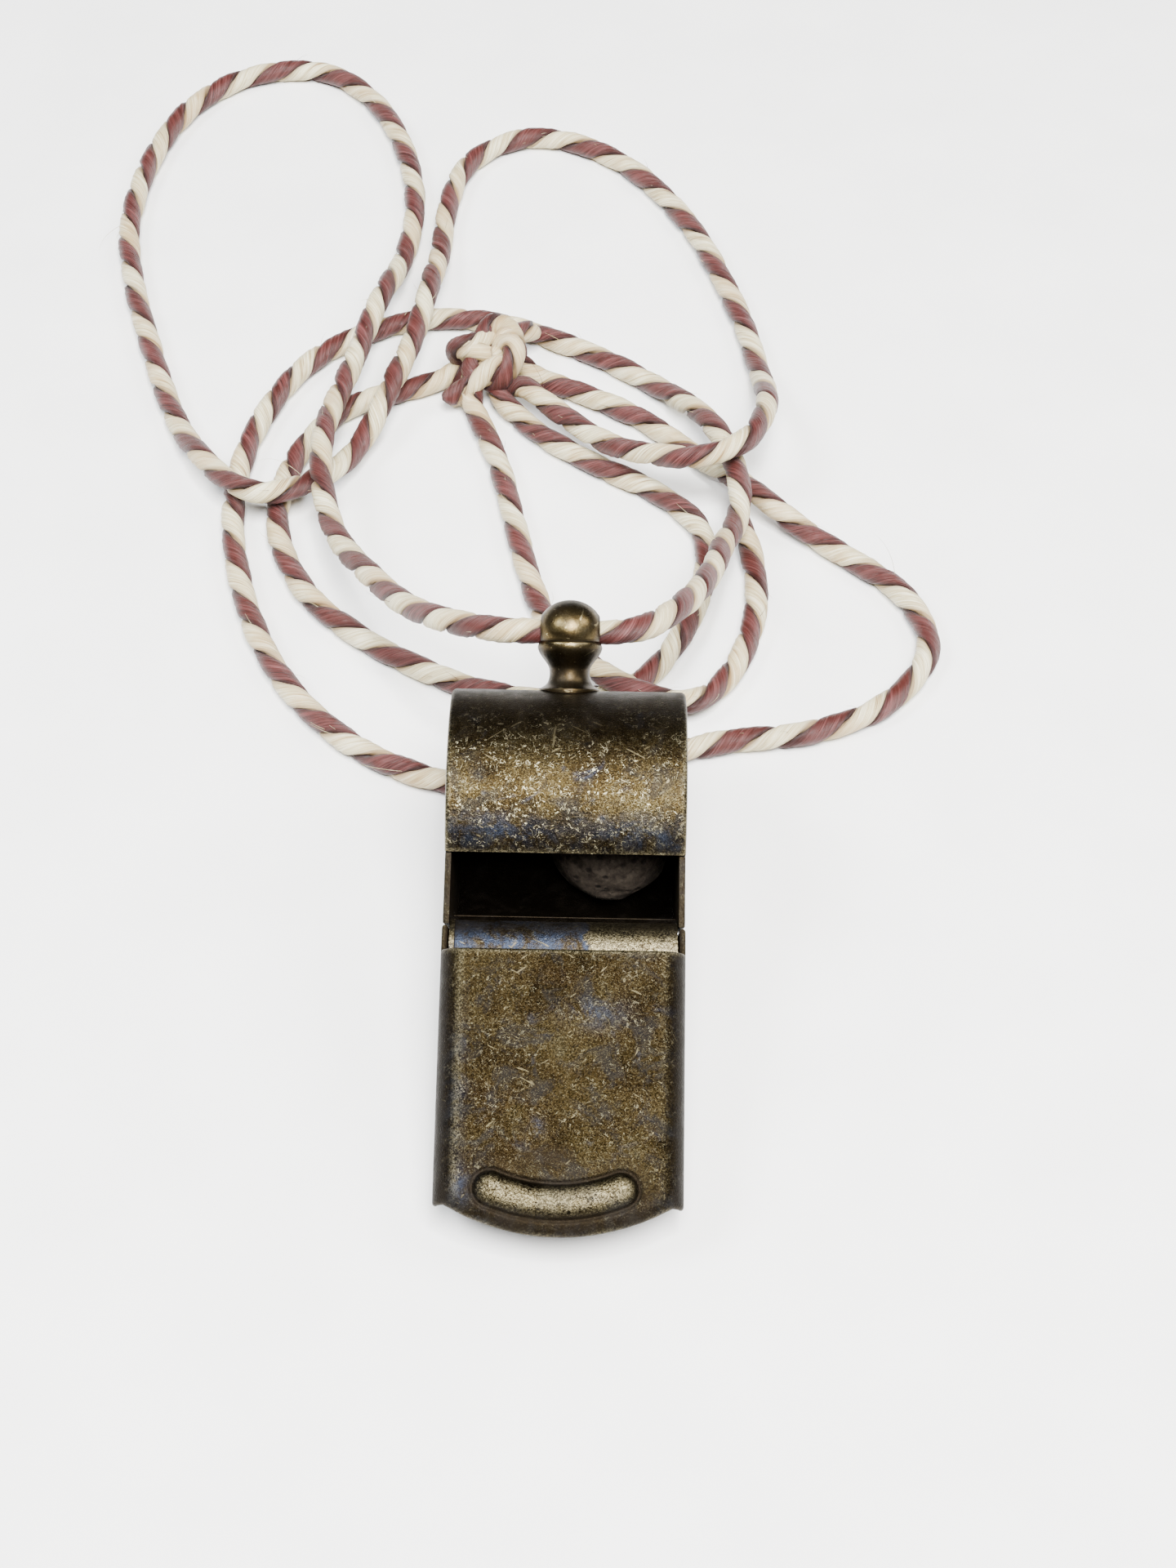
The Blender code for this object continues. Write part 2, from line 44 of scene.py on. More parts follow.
# ---------------------------------------------------------------- dimensions, mm
WIDTH = 19.5
BARREL_R = 9.94
SHEET = 0.5
SLOPE = 22.04
MOUTH_H = 6.1
MOUTH_SAG = 2.4
EDGE_DROP, EDGE_REACH = 0.55, 1.6
FLANGE_RAKE = 2.0
BASE_BACK = 1.9
PLATE_LEN = 22.5
LIP_ANGLE = 149.7
WRAP_END = 201.0
JOIN_ANGLE = 205.0
CORNER_R = 2.2
FLANGE_STEP = 24.9
AXIS_U, AXIS_W = 36.97, -10.04
POST_ANGLE = 40.0
BALL_RHO = 15.0
BALL_R = 2.55
BALL_WIDE = 2.78
HOLE_R = 1.36
PEA_R = 5.3
PEA_ORBIT = 3.95
PEA_X = 3.65
CORD_D = 2.2
SHIFT_Y = 11.97

TH = math.radians(SLOPE)
CU, SU = math.cos(TH), math.sin(TH)
HALF = WIDTH / 2.0
AXIS_Y, AXIS_Z = SHIFT_Y, BARREL_R
PLATE_Y = AXIS_Y - AXIS_U * CU + AXIS_W * SU
PLATE_Z = AXIS_Z - AXIS_U * SU - AXIS_W * CU


def on_plate(x, u, w):
    return (x, PLATE_Y + u * CU - w * SU, PLATE_Z + u * SU + w * CU)


def on_barrel(x, r, degrees):
    a = math.radians(degrees)
    return (x, AXIS_Y + r * math.cos(a), AXIS_Z + r * math.sin(a))


def plate_of(y, z):
    return ((y - PLATE_Y) * CU + (z - PLATE_Z) * SU, -(y - PLATE_Y) * SU + (z - PLATE_Z) * CU)


JOIN_U, JOIN_W = plate_of(*on_barrel(0, BARREL_R, JOIN_ANGLE)[1:])


def base_w(u):
    return -MOUTH_H + (JOIN_W + MOUTH_H) * u / JOIN_U


def mouth_u(x):
    return MOUTH_SAG * min(abs(x) / 9.0, 1.0) ** 2


def edge_drop(x, u):
    d = max(0.0, u - mouth_u(x)) / EDGE_REACH
    return EDGE_DROP * (1.0 - d) ** 2 if d < 1.0 else 0.0


# ---------------------------------------------------------------- camera
def camera():
    el, roll, dist = math.radians(51.0), math.radians(1.07), 0.2240
    target = Vector((0.00172, 0.01627, 0.008))
    look = Vector((0, math.cos(el), -math.sin(el)))
    right = Vector((1, 0, 0))
    up = right.cross(look)
    x = right * math.cos(roll) + up * math.sin(roll)
    y = -right * math.sin(roll) + up * math.cos(roll)
    m = Matrix((x, y, -look)).transposed().to_4x4()
    m.translation = target - look * dist
    data = bpy.data.cameras.new("camera")
    data.sensor_width = 36.0
    data.lens = 60.0
    data.clip_start = 0.01
    data.clip_end = 10.0
    cam = bpy.data.objects.new("camera", data)
    cam.matrix_world = m
    bpy.context.scene.collection.objects.link(cam)
    bpy.context.scene.camera = cam


camera()


# ---------------------------------------------------------------- node helpers
class Nodes:
    def __init__(self, name):
        self.mat = bpy.data.materials.new(name)
        self.mat.use_nodes = True
        self.tree = self.mat.node_tree
        self.bsdf = self.tree.nodes["Principled BSDF"]

    def put(self, kind, **values):
        n = self.tree.nodes.new(kind)
        for k, v in values.items():
            setattr(n, k, v)
        return n

    def link(self, a, b):
        self.tree.links.new(a, b)

    def feed(self, socket, value):
        if hasattr(value, "is_output"):
            self.link(value, socket)
        else:
            socket.default_value = value

    def mm(self, scale=(1, 1, 1), rotation=(0, 0, 0), location=(0, 0, 0)):
        c = self.put("ShaderNodeTexCoord")
        m = self.put("ShaderNodeMapping")
        m.inputs["Scale"].default_value = tuple(s * 1000.0 for s in scale)
        m.inputs["Rotation"].default_value = rotation
        m.inputs["Location"].default_value = location
        self.link(c.outputs["Object"], m.inputs["Vector"])
        return m.outputs["Vector"]

    def turned(self, turn, scale, location):
        m = self.put("ShaderNodeMapping")
        m.inputs["Scale"].default_value = scale
        m.inputs["Location"].default_value = location
        self.link(self.mm(rotation=(0, 0, turn)), m.inputs["Vector"])
        return m.outputs["Vector"]

    def uv(self, scale=(1, 1, 1)):
        c = self.put("ShaderNodeUVMap")
        m = self.put("ShaderNodeMapping")
        m.inputs["Scale"].default_value = scale
        self.link(c.outputs["UV"], m.inputs["Vector"])
        return m.outputs["Vector"]

    def noise(self, vector, scale, detail=4.0, rough=0.5, distort=0.0):
        n = self.put("ShaderNodeTexNoise")
        self.link(vector, n.inputs["Vector"])
        n.inputs["Scale"].default_value = scale
        n.inputs["Detail"].default_value = detail
        n.inputs["Roughness"].default_value = rough
        n.inputs["Distortion"].default_value = distort
        return n.outputs["Fac"]

    def ramp(self, fac, *stops):
        n = self.put("ShaderNodeValToRGB")
        self.link(fac, n.inputs["Fac"])
        e = n.color_ramp.elements
        while len(e) < len(stops):
            e.new(0.5)
        for el, (pos, col) in zip(e, stops):
            el.position = pos
            el.color = (*col, 1) if len(col) == 3 else col
        return n.outputs["Color"]

    def step(self, fac, low, high):
        n = self.put("ShaderNodeMapRange")
        n.interpolation_type = "SMOOTHSTEP"
        self.link(fac, n.inputs["Value"])
        n.inputs["From Min"].default_value = low
        n.inputs["From Max"].default_value = high
        return n.outputs["Result"]

    def math(self, op, a, b=0.5, clamp=False):
        n = self.put("ShaderNodeMath", operation=op, use_clamp=clamp)
        self.feed(n.inputs[0], a)
        self.feed(n.inputs[1], b)
        return n.outputs[0]

    def mix(self, fac, a, b, mode="MIX"):
        n = self.put("ShaderNodeMix", data_type="RGBA", blend_type=mode)
        self.feed(n.inputs["Factor"], fac)
        for s, v in ((n.inputs[6], a), (n.inputs[7], b)):
            if hasattr(v, "is_output"):
                self.link(v, s)
            else:
                s.default_value = (*v, 1)
        return n.outputs[2]

    def attribute(self, name):
        return self.put("ShaderNodeAttribute", attribute_name=name).outputs["Fac"]

    def bump(self, height, distance, strength=1.0, normal=None):
        n = self.put("ShaderNodeBump")
        self.link(height, n.inputs["Height"])
        n.inputs["Distance"].default_value = distance
        n.inputs["Strength"].default_value = strength
        if normal is not None:
            self.link(normal, n.inputs["Normal"])
        return n.outputs["Normal"]


def aged_brass(name, seed, tone=1.0, dark=0.5, blue=0.5, fleck=0.5, rough=0.40, glitter=1.0):
    """Patinated brass: brown film over gold, salt-and-pepper grain, wormy bright nicks, blue bloom, rubbed edges whose
    mask also carries a painted highlight, and a dark film whose mask also carries painted shade.
    """
    m = Nodes(name)
    at = m.mm(location=(seed * 17.3, seed * 5.1, seed * 9.7))
    patch = m.noise(at, 0.15, 5.0, 0.60, 0.6)
    mottle = m.noise(at, 0.70, 6.0, 0.66, 0.4)
    grain = m.noise(at, 5.6, 3.0, 0.62)
    fine = m.noise(at, 11.5, 2.0, 0.5)
    body = m.ramp(
        m.math("ADD", m.math("MULTIPLY", patch, 0.5), m.math("MULTIPLY", mottle, 0.5)),
        (0.37, (0.085 * tone, 0.058 * tone, 0.026 * tone)),
        (0.47, (0.200 * tone, 0.140 * tone, 0.055 * tone)),
        (0.56, (0.310 * tone, 0.230 * tone, 0.095 * tone)),
        (0.68, (0.440 * tone, 0.370 * tone, 0.195 * tone)),
    )
    warm = m.step(m.noise(m.mm(location=(seed * 9.0, 60, 4)), 0.22, 4.0, 0.6, 0.5), 0.45, 0.62)
    body = m.mix(m.math("MULTIPLY", warm, 0.22), body, (0.25 * tone, 0.160 * tone, 0.065 * tone))
    tarnish = m.math("MULTIPLY", m.step(m.noise(at, 0.36, 6.0, 0.68, 0.8), 0.48, 0.64), dark)
    body = m.mix(tarnish, body, (0.030 * tone, 0.023 * tone, 0.015 * tone))
    # the grain of the worn film: dark pits beside bare specks
    pepper = m.step(m.math("ADD", m.math("MULTIPLY", grain, 0.5), m.math("MULTIPLY", fine, 0.5)), 0.38, 0.62)
    body = m.mix(0.90 * min(glitter, 1.0), body, m.ramp(pepper, (0.0, (0.08, 0.07, 0.06)), (0.45, (0.46, 0.44, 0.40)), (1.0, (1.0, 1.0, 1.0))), "MULTIPLY")
    specks = m.math("MULTIPLY", m.step(m.math("ADD", m.math("MULTIPLY", grain, 0.4), m.math("MULTIPLY", fine, 0.6)), 0.56, 0.66), 0.55 * glitter)
    body = m.mix(specks, body, (0.70 * tone, 0.64 * tone, 0.42 * tone))
    # blue bloom
    bloom = m.math("MULTIPLY", m.step(m.noise(m.mm(location=(seed * 3.1 + 40, 7, 21)), 0.30, 5.0, 0.6, 1.0), 0.57, 0.72), blue)
    blued = m.math("MULTIPLY", m.attribute("blue"), m.step(m.noise(m.mm(location=(seed, 11, 5)), 0.55, 7.0, 0.72, 0.6), 0.38, 0.58))
    bloom = m.math("MAXIMUM", bloom, m.math("MULTIPLY", blued, 0.92))
    bloom = m.math("MULTIPLY", bloom, m.math("ADD", m.math("MULTIPLY", pepper, 0.6), 0.30, True))
    body = m.mix(bloom, body, (0.075 * tone, 0.170 * tone, 0.380 * tone))
    # short curling nicks, bare metal
    nicks = None
    for size, shift, low in ((1.9, 0.0, 0.010), (1.4, 37.0, 0.008), (2.6, 71.0, 0.013)):
        v = m.mm(location=(seed * 2.0 + shift, shift * 1.7, 3 + shift))
        level = m.noise(v, size, 1.5, 0.5, 0.8)
        near = m.math("ABSOLUTE", m.math("SUBTRACT", level, 0.5), 0.0)
        k = m.step(near, low * 2.2, low)
        part = m.step(m.noise(m.mm(location=(shift, seed * 3.0 + shift, 9)), 2.2, 1.0, 0.4), 0.585, 0.64)
        k = m.math("MULTIPLY", k, part)
        nicks = k if nicks is None else m.math("MAXIMUM", nicks, k)
    nicks = m.math("MULTIPLY", nicks, m.step(m.noise(at, 0.30, 3.0, 0.6), 0.38, 0.60))
    nicks = m.math("MULTIPLY", nicks, fleck, True)
    body = m.mix(nicks, body, (0.46, 0.42, 0.27))
    # a few long hairline scratches
    lines = None
    for turn, low in ((0.9, 0.735), (-1.05, 0.74), (0.2, 0.75)):
        v = m.turned(turn, (3.2, 0.22, 3.2), (seed * 2.0, turn * 30, 3))
        k = m.step(m.noise(v, 1.0, 1.0, 0.4, 0.15), low, low + 0.02)
        lines = k if lines is None else m.math("MAXIMUM", lines, k)
    lines = m.math("MULTIPLY", lines, 0.45)
    body = m.mix(lines, body, (1.3 * tone, 1.1 * tone, 0.62 * tone))
    # rubbed bare metal from the per-vertex mask: real rubbed edges, plus a painted highlight where a piece sets one
    # (the cover's rounded edges)
    wear_and_highlight = m.attribute("wear_and_highlight")
    worn_and_highlight = m.math("MULTIPLY", wear_and_highlight, m.step(m.math("ADD", m.math("MULTIPLY", mottle, 0.5), m.math("MULTIPLY", grain, 0.5)), 0.34, 0.54))
    bare = m.ramp(pepper, (0.0, (0.050, 0.042, 0.022)), (0.5, (0.125, 0.104, 0.056)), (1.0, (0.27, 0.235, 0.14)))
    body = m.mix(worn_and_highlight, body, bare)
    # dark film from the per-vertex mask: partly real dark patina, partly painted shade on faces inside the whistle,
    # faces turned away from the light, and faces standing in for a dark reflection
    soot_and_shade = m.math("MULTIPLY", m.attribute("soot_and_shade"), m.math("ADD", m.math("MULTIPLY", mottle, 0.8), 0.42, True), True)
    body = m.mix(soot_and_shade, body, (0.012, 0.009, 0.006))
    m.link(body, m.bsdf.inputs["Base Color"])
    metal = m.math("SUBTRACT", 1.0, m.math("ADD", m.math("MULTIPLY", tarnish, 0.20), m.math("MULTIPLY", bloom, 0.15), True), True)
    m.link(metal, m.bsdf.inputs["Metallic"])
    r = m.math("ADD", m.math("MULTIPLY", mottle, 0.22), rough - 0.11)
    r = m.math("ADD", r, m.math("MULTIPLY", tarnish, 0.10))
    r = m.math("ADD", r, m.math("MULTIPLY", soot_and_shade, 0.20))
    r = m.math("SUBTRACT", r, m.math("MULTIPLY", worn_and_highlight, 0.08), True)
    m.link(r, m.bsdf.inputs["Roughness"])
    relief = m.math("ADD", m.math("MULTIPLY", mottle, 0.4), m.math("MULTIPLY", grain, 0.9))
    relief = m.math("SUBTRACT", relief, m.math("MULTIPLY", nicks, 0.5))
    relief = m.math("SUBTRACT", relief, m.math("MULTIPLY", lines, 0.4))
    relief = m.math("ADD", relief, m.math("MULTIPLY", fine, 0.6))
    m.link(m.bump(relief, 0.000055, 0.8 * glitter), m.bsdf.inputs["Normal"])
    return m.mat


# ---------------------------------------------------------------- mesh helpers
def make(name, points, faces, materials, layers=None, sharp=38.0, smooth=True):
    mesh = bpy.data.meshes.new(name)
    mesh.from_pydata([(p[0] * MM, p[1] * MM, p[2] * MM) for p in points], [], faces)
    bm = bmesh.new()
    bm.from_mesh(mesh)
    bmesh.ops.recalc_face_normals(bm, faces=bm.faces)
    for f in bm.faces:
        f.smooth = smooth
    for e in bm.edges:
        if len(e.link_faces) == 2 and e.calc_face_angle(0.0) > math.radians(sharp):
            e.smooth = False
    bm.to_mesh(mesh)
    bm.free()
    for mat in materials:
        mesh.materials.append(mat)
    for layer in ("wear_and_highlight", "soot_and_shade", "blue"):
        a = mesh.attributes.new(layer, "FLOAT", "POINT")
        values = (layers or {}).get(layer)
        a.data.foreach_set("value", np.array(values if values is not None else np.zeros(len(points)), dtype=np.float32))
    obj = bpy.data.objects.new(name, mesh)
    bpy.context.scene.collection.objects.link(obj)
    return obj


def sweep(rings, closed=False, caps=True):
    n = len(rings[0])
    points = [p for ring in rings for p in ring]
    faces = []
    count = len(rings)
    for i in range(count if closed else count - 1):
        j = (i + 1) % count
        for k in range(n):
            m = (k + 1) % n
            faces.append((i * n + k, i * n + m, j * n + m, j * n + k))
    if caps and not closed:
        faces.append(tuple(range(n - 1, -1, -1)))
        faces.append(tuple((count - 1) * n + k for k in range(n)))
    return points, faces


def dent(x, y, z, seed, size, depth):
    """Shallow knocks: only the lowest parts of a smooth noise."""
    v = noise.noise(Vector((x / size + seed, y / size - seed, z / size + 2 * seed)))
    return -depth * max(0.0, v - 0.25) / 0.75 + 0.25 * depth * noise.noise(Vector((x / size * 0.4 - seed, y / size * 0.4, z / size * 0.4)))


# ---------------------------------------------------------------- lanyard routes, mm
BALL_Y = AXIS_Y + BALL_RHO * math.cos(math.radians(POST_ANGLE))
BALL_Z = AXIS_Z + BALL_RHO * math.sin(math.radians(POST_ANGLE))
KNOT = (-8.8, 75.3, 3.2)
KNOT_SIZE = (4.3, 3.5, 3.1)
ROUTES = {
    "lanyard_left": [
        (0, BALL_Y, BALL_Z), (-3.4, BALL_Y + 0.02, BALL_Z - 0.02), (-6.8, 24.3, 19.0), (-10.6, 26.9, 17.0),
        (-14.5, 32, 13.0), (-18.6, 39.4, 9.4),
        (-21.8, 46, 6.4), (-23.8, 52.5, 4.4), (-24.6, 58, 0), (-24.4, 65, 0), (-23, 73, 0), (-21, 82.5, 0), (-19, 92, 0),
        (-18.2, 102, 0), (-20, 112, 0), (-24, 120.5, 0), (-30, 125.5, 0), (-38, 124.5, 0), (-44.2, 118.5, 0),
        (-47.6, 109, 0), (-48.6, 98, 0), (-47, 88.5, 0), (-44.5, 80, 0), (-41.5, 71, 0), (-38, 63, 0),
        (-34, 57, 0), (-29.5, 55, 0), (-24.5, 58.5, 0), (-20, 67, 0), (-16.8, 78.5, 0), (-15.2, 91, 0),
        (-14.6, 102, 0), (-12.6, 109.5, 0), (-7, 114, 0), (-0.5, 113.2, 0), (6, 108.2, 0), (11.6, 99.5, 0),
        (15, 90.5, 0), (17.5, 81.5, 0), (18.7, 72.5, 0), (18.4, 65, 0), (16.2, 59.2, 0), (11.4, 57.2, 0), (6.6, 59.6, 0),
        (2, 63.4, 0), (-2, 67.7, 0), (-5.2, 71.4, 0),
    ],
    "lanyard_right": [
        (0, BALL_Y, BALL_Z), (3.4, BALL_Y + 0.02, BALL_Z - 0.02), (6.6, 25.0, 18.9), (9.2, 28.9, 16.8), (11.2, 34, 13.8), (12.8, 40, 10.4),
        (14, 46.4, 7.2), (15.8, 55, 0), (13.5, 64.5, 0), (9.5, 72, 0), (4.5, 76.6, 0), (-1.5, 80.2, 0),
        (-8, 83, 0), (-14.5, 83.7, 0), (-21, 81.8, 0), (-27, 77.2, 0), (-30.8, 70.5, 0), (-33, 62, 0),
        (-33, 52.5, 0), (-30.5, 42, 0), (-26.8, 34, 0), (-22.5, 28.5, 0), (-17.2, 24.3, 0), (-10, 21.6, 0),
        (-2, 21.9, 0), (6, 24.6, 0), (14, 27, 0), (22, 28.4, 0), (29, 32, 0), (33.2, 38.6, 0), (31.4, 45.4, 0),
        (26, 50.6, 0), (19.5, 55.7, 0), (13, 62.4, 0), (7, 68.6, 0), (0.6, 72.6, 0), (-3.8, 74.6, 0),
    ],
    "lanyard_ring": [
        (-13.6, 74.6, 0), (-17.2, 72.8, 0), (-23, 70, 0), (-27.6, 63, 0), (-28.8, 53.5, 0), (-25.5, 44.8, 0),
        (-19.8, 39, 0), (-13.6, 35, 0), (-7.5, 32.4, 0), (-0.5, 31.6, 0), (5.8, 33.6, 0), (9.7, 39, 0),
        (12.3, 46.5, 0), (12.2, 53.6, 0), (8, 58.6, 0), (2, 62.4, 0), (-3.6, 66.6, 0), (-7.2, 70.7, 0),
    ],
    "lanyard_tail": [
        (-11.0, 71.4, 0), (-9.8, 68.4, 0), (-7.6, 62, 0), (-5.8, 54, 0), (-4, 46.2, 0), (-1.2, 38, 0),
        (4, 31.9, 0), (10.4, 30.6, 0), (14.8, 35.4, 0), (17.2, 43, 0), (17, 50.6, 0), (15.4, 56.6, 0),
    ],
}
DEPOSIT = ["lanyard_ring", "lanyard_tail", "lanyard_right", "lanyard_left"]
CLEAR = 2.8               # centre to centre where one strand lies on another
HUMP_R, HUMP_SLOPE = 16.0, 0.6


def smooth_route(points, step):
    p = np.array(points, float)
    q = np.vstack([2 * p[0] - p[1], p, 2 * p[-1] - p[-2]])
    out = []
    for i in range(1, len(q) - 2):
        p0, p1, p2, p3 = q[i - 1:i + 3]
        t = np.linspace(0, 1, 24, endpoint=False)[:, None]
        out.append(0.5 * (2 * p1 + (p2 - p0) * t + (2 * p0 - 5 * p1 + 4 * p2 - p3) * t ** 2 + (3 * p1 - p0 - 3 * p2 + p3) * t ** 3))
    out = np.vstack(out + [p[-1:]])
    s = np.r_[0, np.cumsum(np.linalg.norm(np.diff(out[:, :2], axis=0), axis=1))]
    n = max(int(round(s[-1] / step)), 2)
    t = np.linspace(0, s[-1], n + 1)
    return np.stack([np.interp(t, s, out[:, k]) for k in range(3)], 1)


def settle(routes, order, radius, step=1.0):
    """Lay the strands down in order, each resting on those below it."""
    tracks = []
    for name in order:
        t = smooth_route(routes[name], step)
        tracks.append(t[::-1] if t[0, 2] > 5 else t)
    xy = np.vstack([t[:, :2] for t in tracks])
    held = np.concatenate([t[:, 2] for t in tracks])
    cord = np.concatenate([np.full(len(t), i) for i, t in enumerate(tracks)])
    pos = np.concatenate([np.arange(len(t)) * step for t in tracks])
    d2 = ((xy[:, None] - xy[None]) ** 2).sum(-1)
    k = np.arange(len(xy))
    lower, upper = np.nonzero((d2 < CLEAR * CLEAR) & (k[:, None] < k[None]))
    ok = ((cord[lower] != cord[upper]) | (np.abs(pos[lower] - pos[upper]) > 9)) & ~((held[lower] > 15) & (held[upper] > 15))
    lower, upper = lower[ok], upper[ok]
    lift = np.sqrt(CLEAR * CLEAR - d2[lower, upper])
    z = np.full(len(xy), radius)
    for _ in range(40):
        before = z.copy()
        need = np.full(len(xy), radius)
        np.maximum.at(need, upper, np.maximum(z, held)[lower] + lift)
        for i in range(len(tracks)):
            own = np.nonzero(cord == i)[0]
            away = np.abs(pos[own][:, None] - pos[own][None])
            turn = HUMP_R * HUMP_SLOPE
            drop = np.where(away < turn, away ** 2 / (2 * HUMP_R), HUMP_SLOPE * away - turn * HUMP_SLOPE / 2)
            z[own] = (need[own][None] - drop).max(1)
        if np.abs(z - before).max() < 0.01:
            break
    z = np.maximum(z, held)
    done = {}
    for i, name in enumerate(order):
        own = np.nonzero(cord == i)[0]
        line = np.column_stack([xy[own], z[own]])
        w = np.array([1, 2, 3, 4, 3, 2, 1]) / 16.0
        for _ in range(3):
            line[:, 2] = np.maximum(np.convolve(np.pad(line[:, 2], 3, mode="edge"), w, mode="valid"), radius)
        done[name] = line[::-1] if routes[name][0][2] > 5 else line
    return done


LINES = settle(ROUTES, DEPOSIT, CORD_D / 2)


def cord_material(name, seed, base, deep, light, blush_to):
    """Silky raffia-like fibres running along the ply."""
    m = Nodes(name)
    fibre = m.noise(m.uv((0.16, 30.0, 1.0)), 1.0, 4.0, 0.60, 0.12)
    hair = m.noise(m.uv((0.30, 85.0, 1.0)), 1.0, 2.0, 0.5, 0.1)
    strand = m.noise(m.uv((0.28, 8.0, 1.0)), 1.0, 3.0, 0.5, 0.1)
    tone = m.math("ADD", m.math("MULTIPLY", fibre, 0.45), m.math("MULTIPLY", strand, 0.30))
    tone = m.math("ADD", tone, m.math("MULTIPLY", hair, 0.25))
    col = m.ramp(tone, (0.36, deep), (0.47, base), (0.60, light))
    blush = m.step(m.noise(m.mm(location=(seed, seed, 0)), 0.13, 4.0, 0.6), 0.44, 0.64)
    col = m.mix(m.math("MULTIPLY", blush, 0.42), col, blush_to)
    # painted shade: the crevice side of each ply is darkened towards the deep colour
    col = m.mix(m.math("MULTIPLY", m.attribute("crevice_shade"), 0.75), col, deep)
    m.link(col, m.bsdf.inputs["Base Color"])
    m.link(m.math("ADD", m.math("MULTIPLY", fibre, 0.32), 0.28), m.bsdf.inputs["Roughness"])
    m.bsdf.inputs["Sheen Weight"].default_value = 0.06
    m.bsdf.inputs["Sheen Roughness"].default_value = 0.4
    m.bsdf.inputs["Specular IOR Level"].default_value = 0.28
    h = m.math("ADD", m.math("MULTIPLY", fibre, 0.8), m.math("MULTIPLY", strand, 0.5))
    h = m.math("ADD", h, m.math("MULTIPLY", hair, 0.35))
    m.link(m.bump(h, 0.00022, 0.9), m.bsdf.inputs["Normal"])
    return m.mat


CREAM = cord_material("ply_cream", 3.0, (0.46, 0.39, 0.22), (0.16, 0.080, 0.028), (0.72, 0.67, 0.49), (0.36, 0.215, 0.085))
RED = cord_material("ply_red", 8.0, (0.040, 0.0072, 0.0054), (0.012, 0.0025, 0.0020), (0.120, 0.038, 0.036), (0.046, 0.0075, 0.0040))

PITCH = 8.0          # one full turn of the two plies
PLY_OUT = 0.50
PLY_DEEP, PLY_WIDE = 0.62, 0.94


def resample(line, step):
    line = np.asarray(line, float)
    s = np.r_[0, np.cumsum(np.linalg.norm(np.diff(line, axis=0), axis=1))]
    n = max(int(round(s[-1] / step)), 3)
    t = np.linspace(0, s[-1], n + 1)
    return np.stack([np.interp(t, s, line[:, k]) for k in range(3)], 1), t


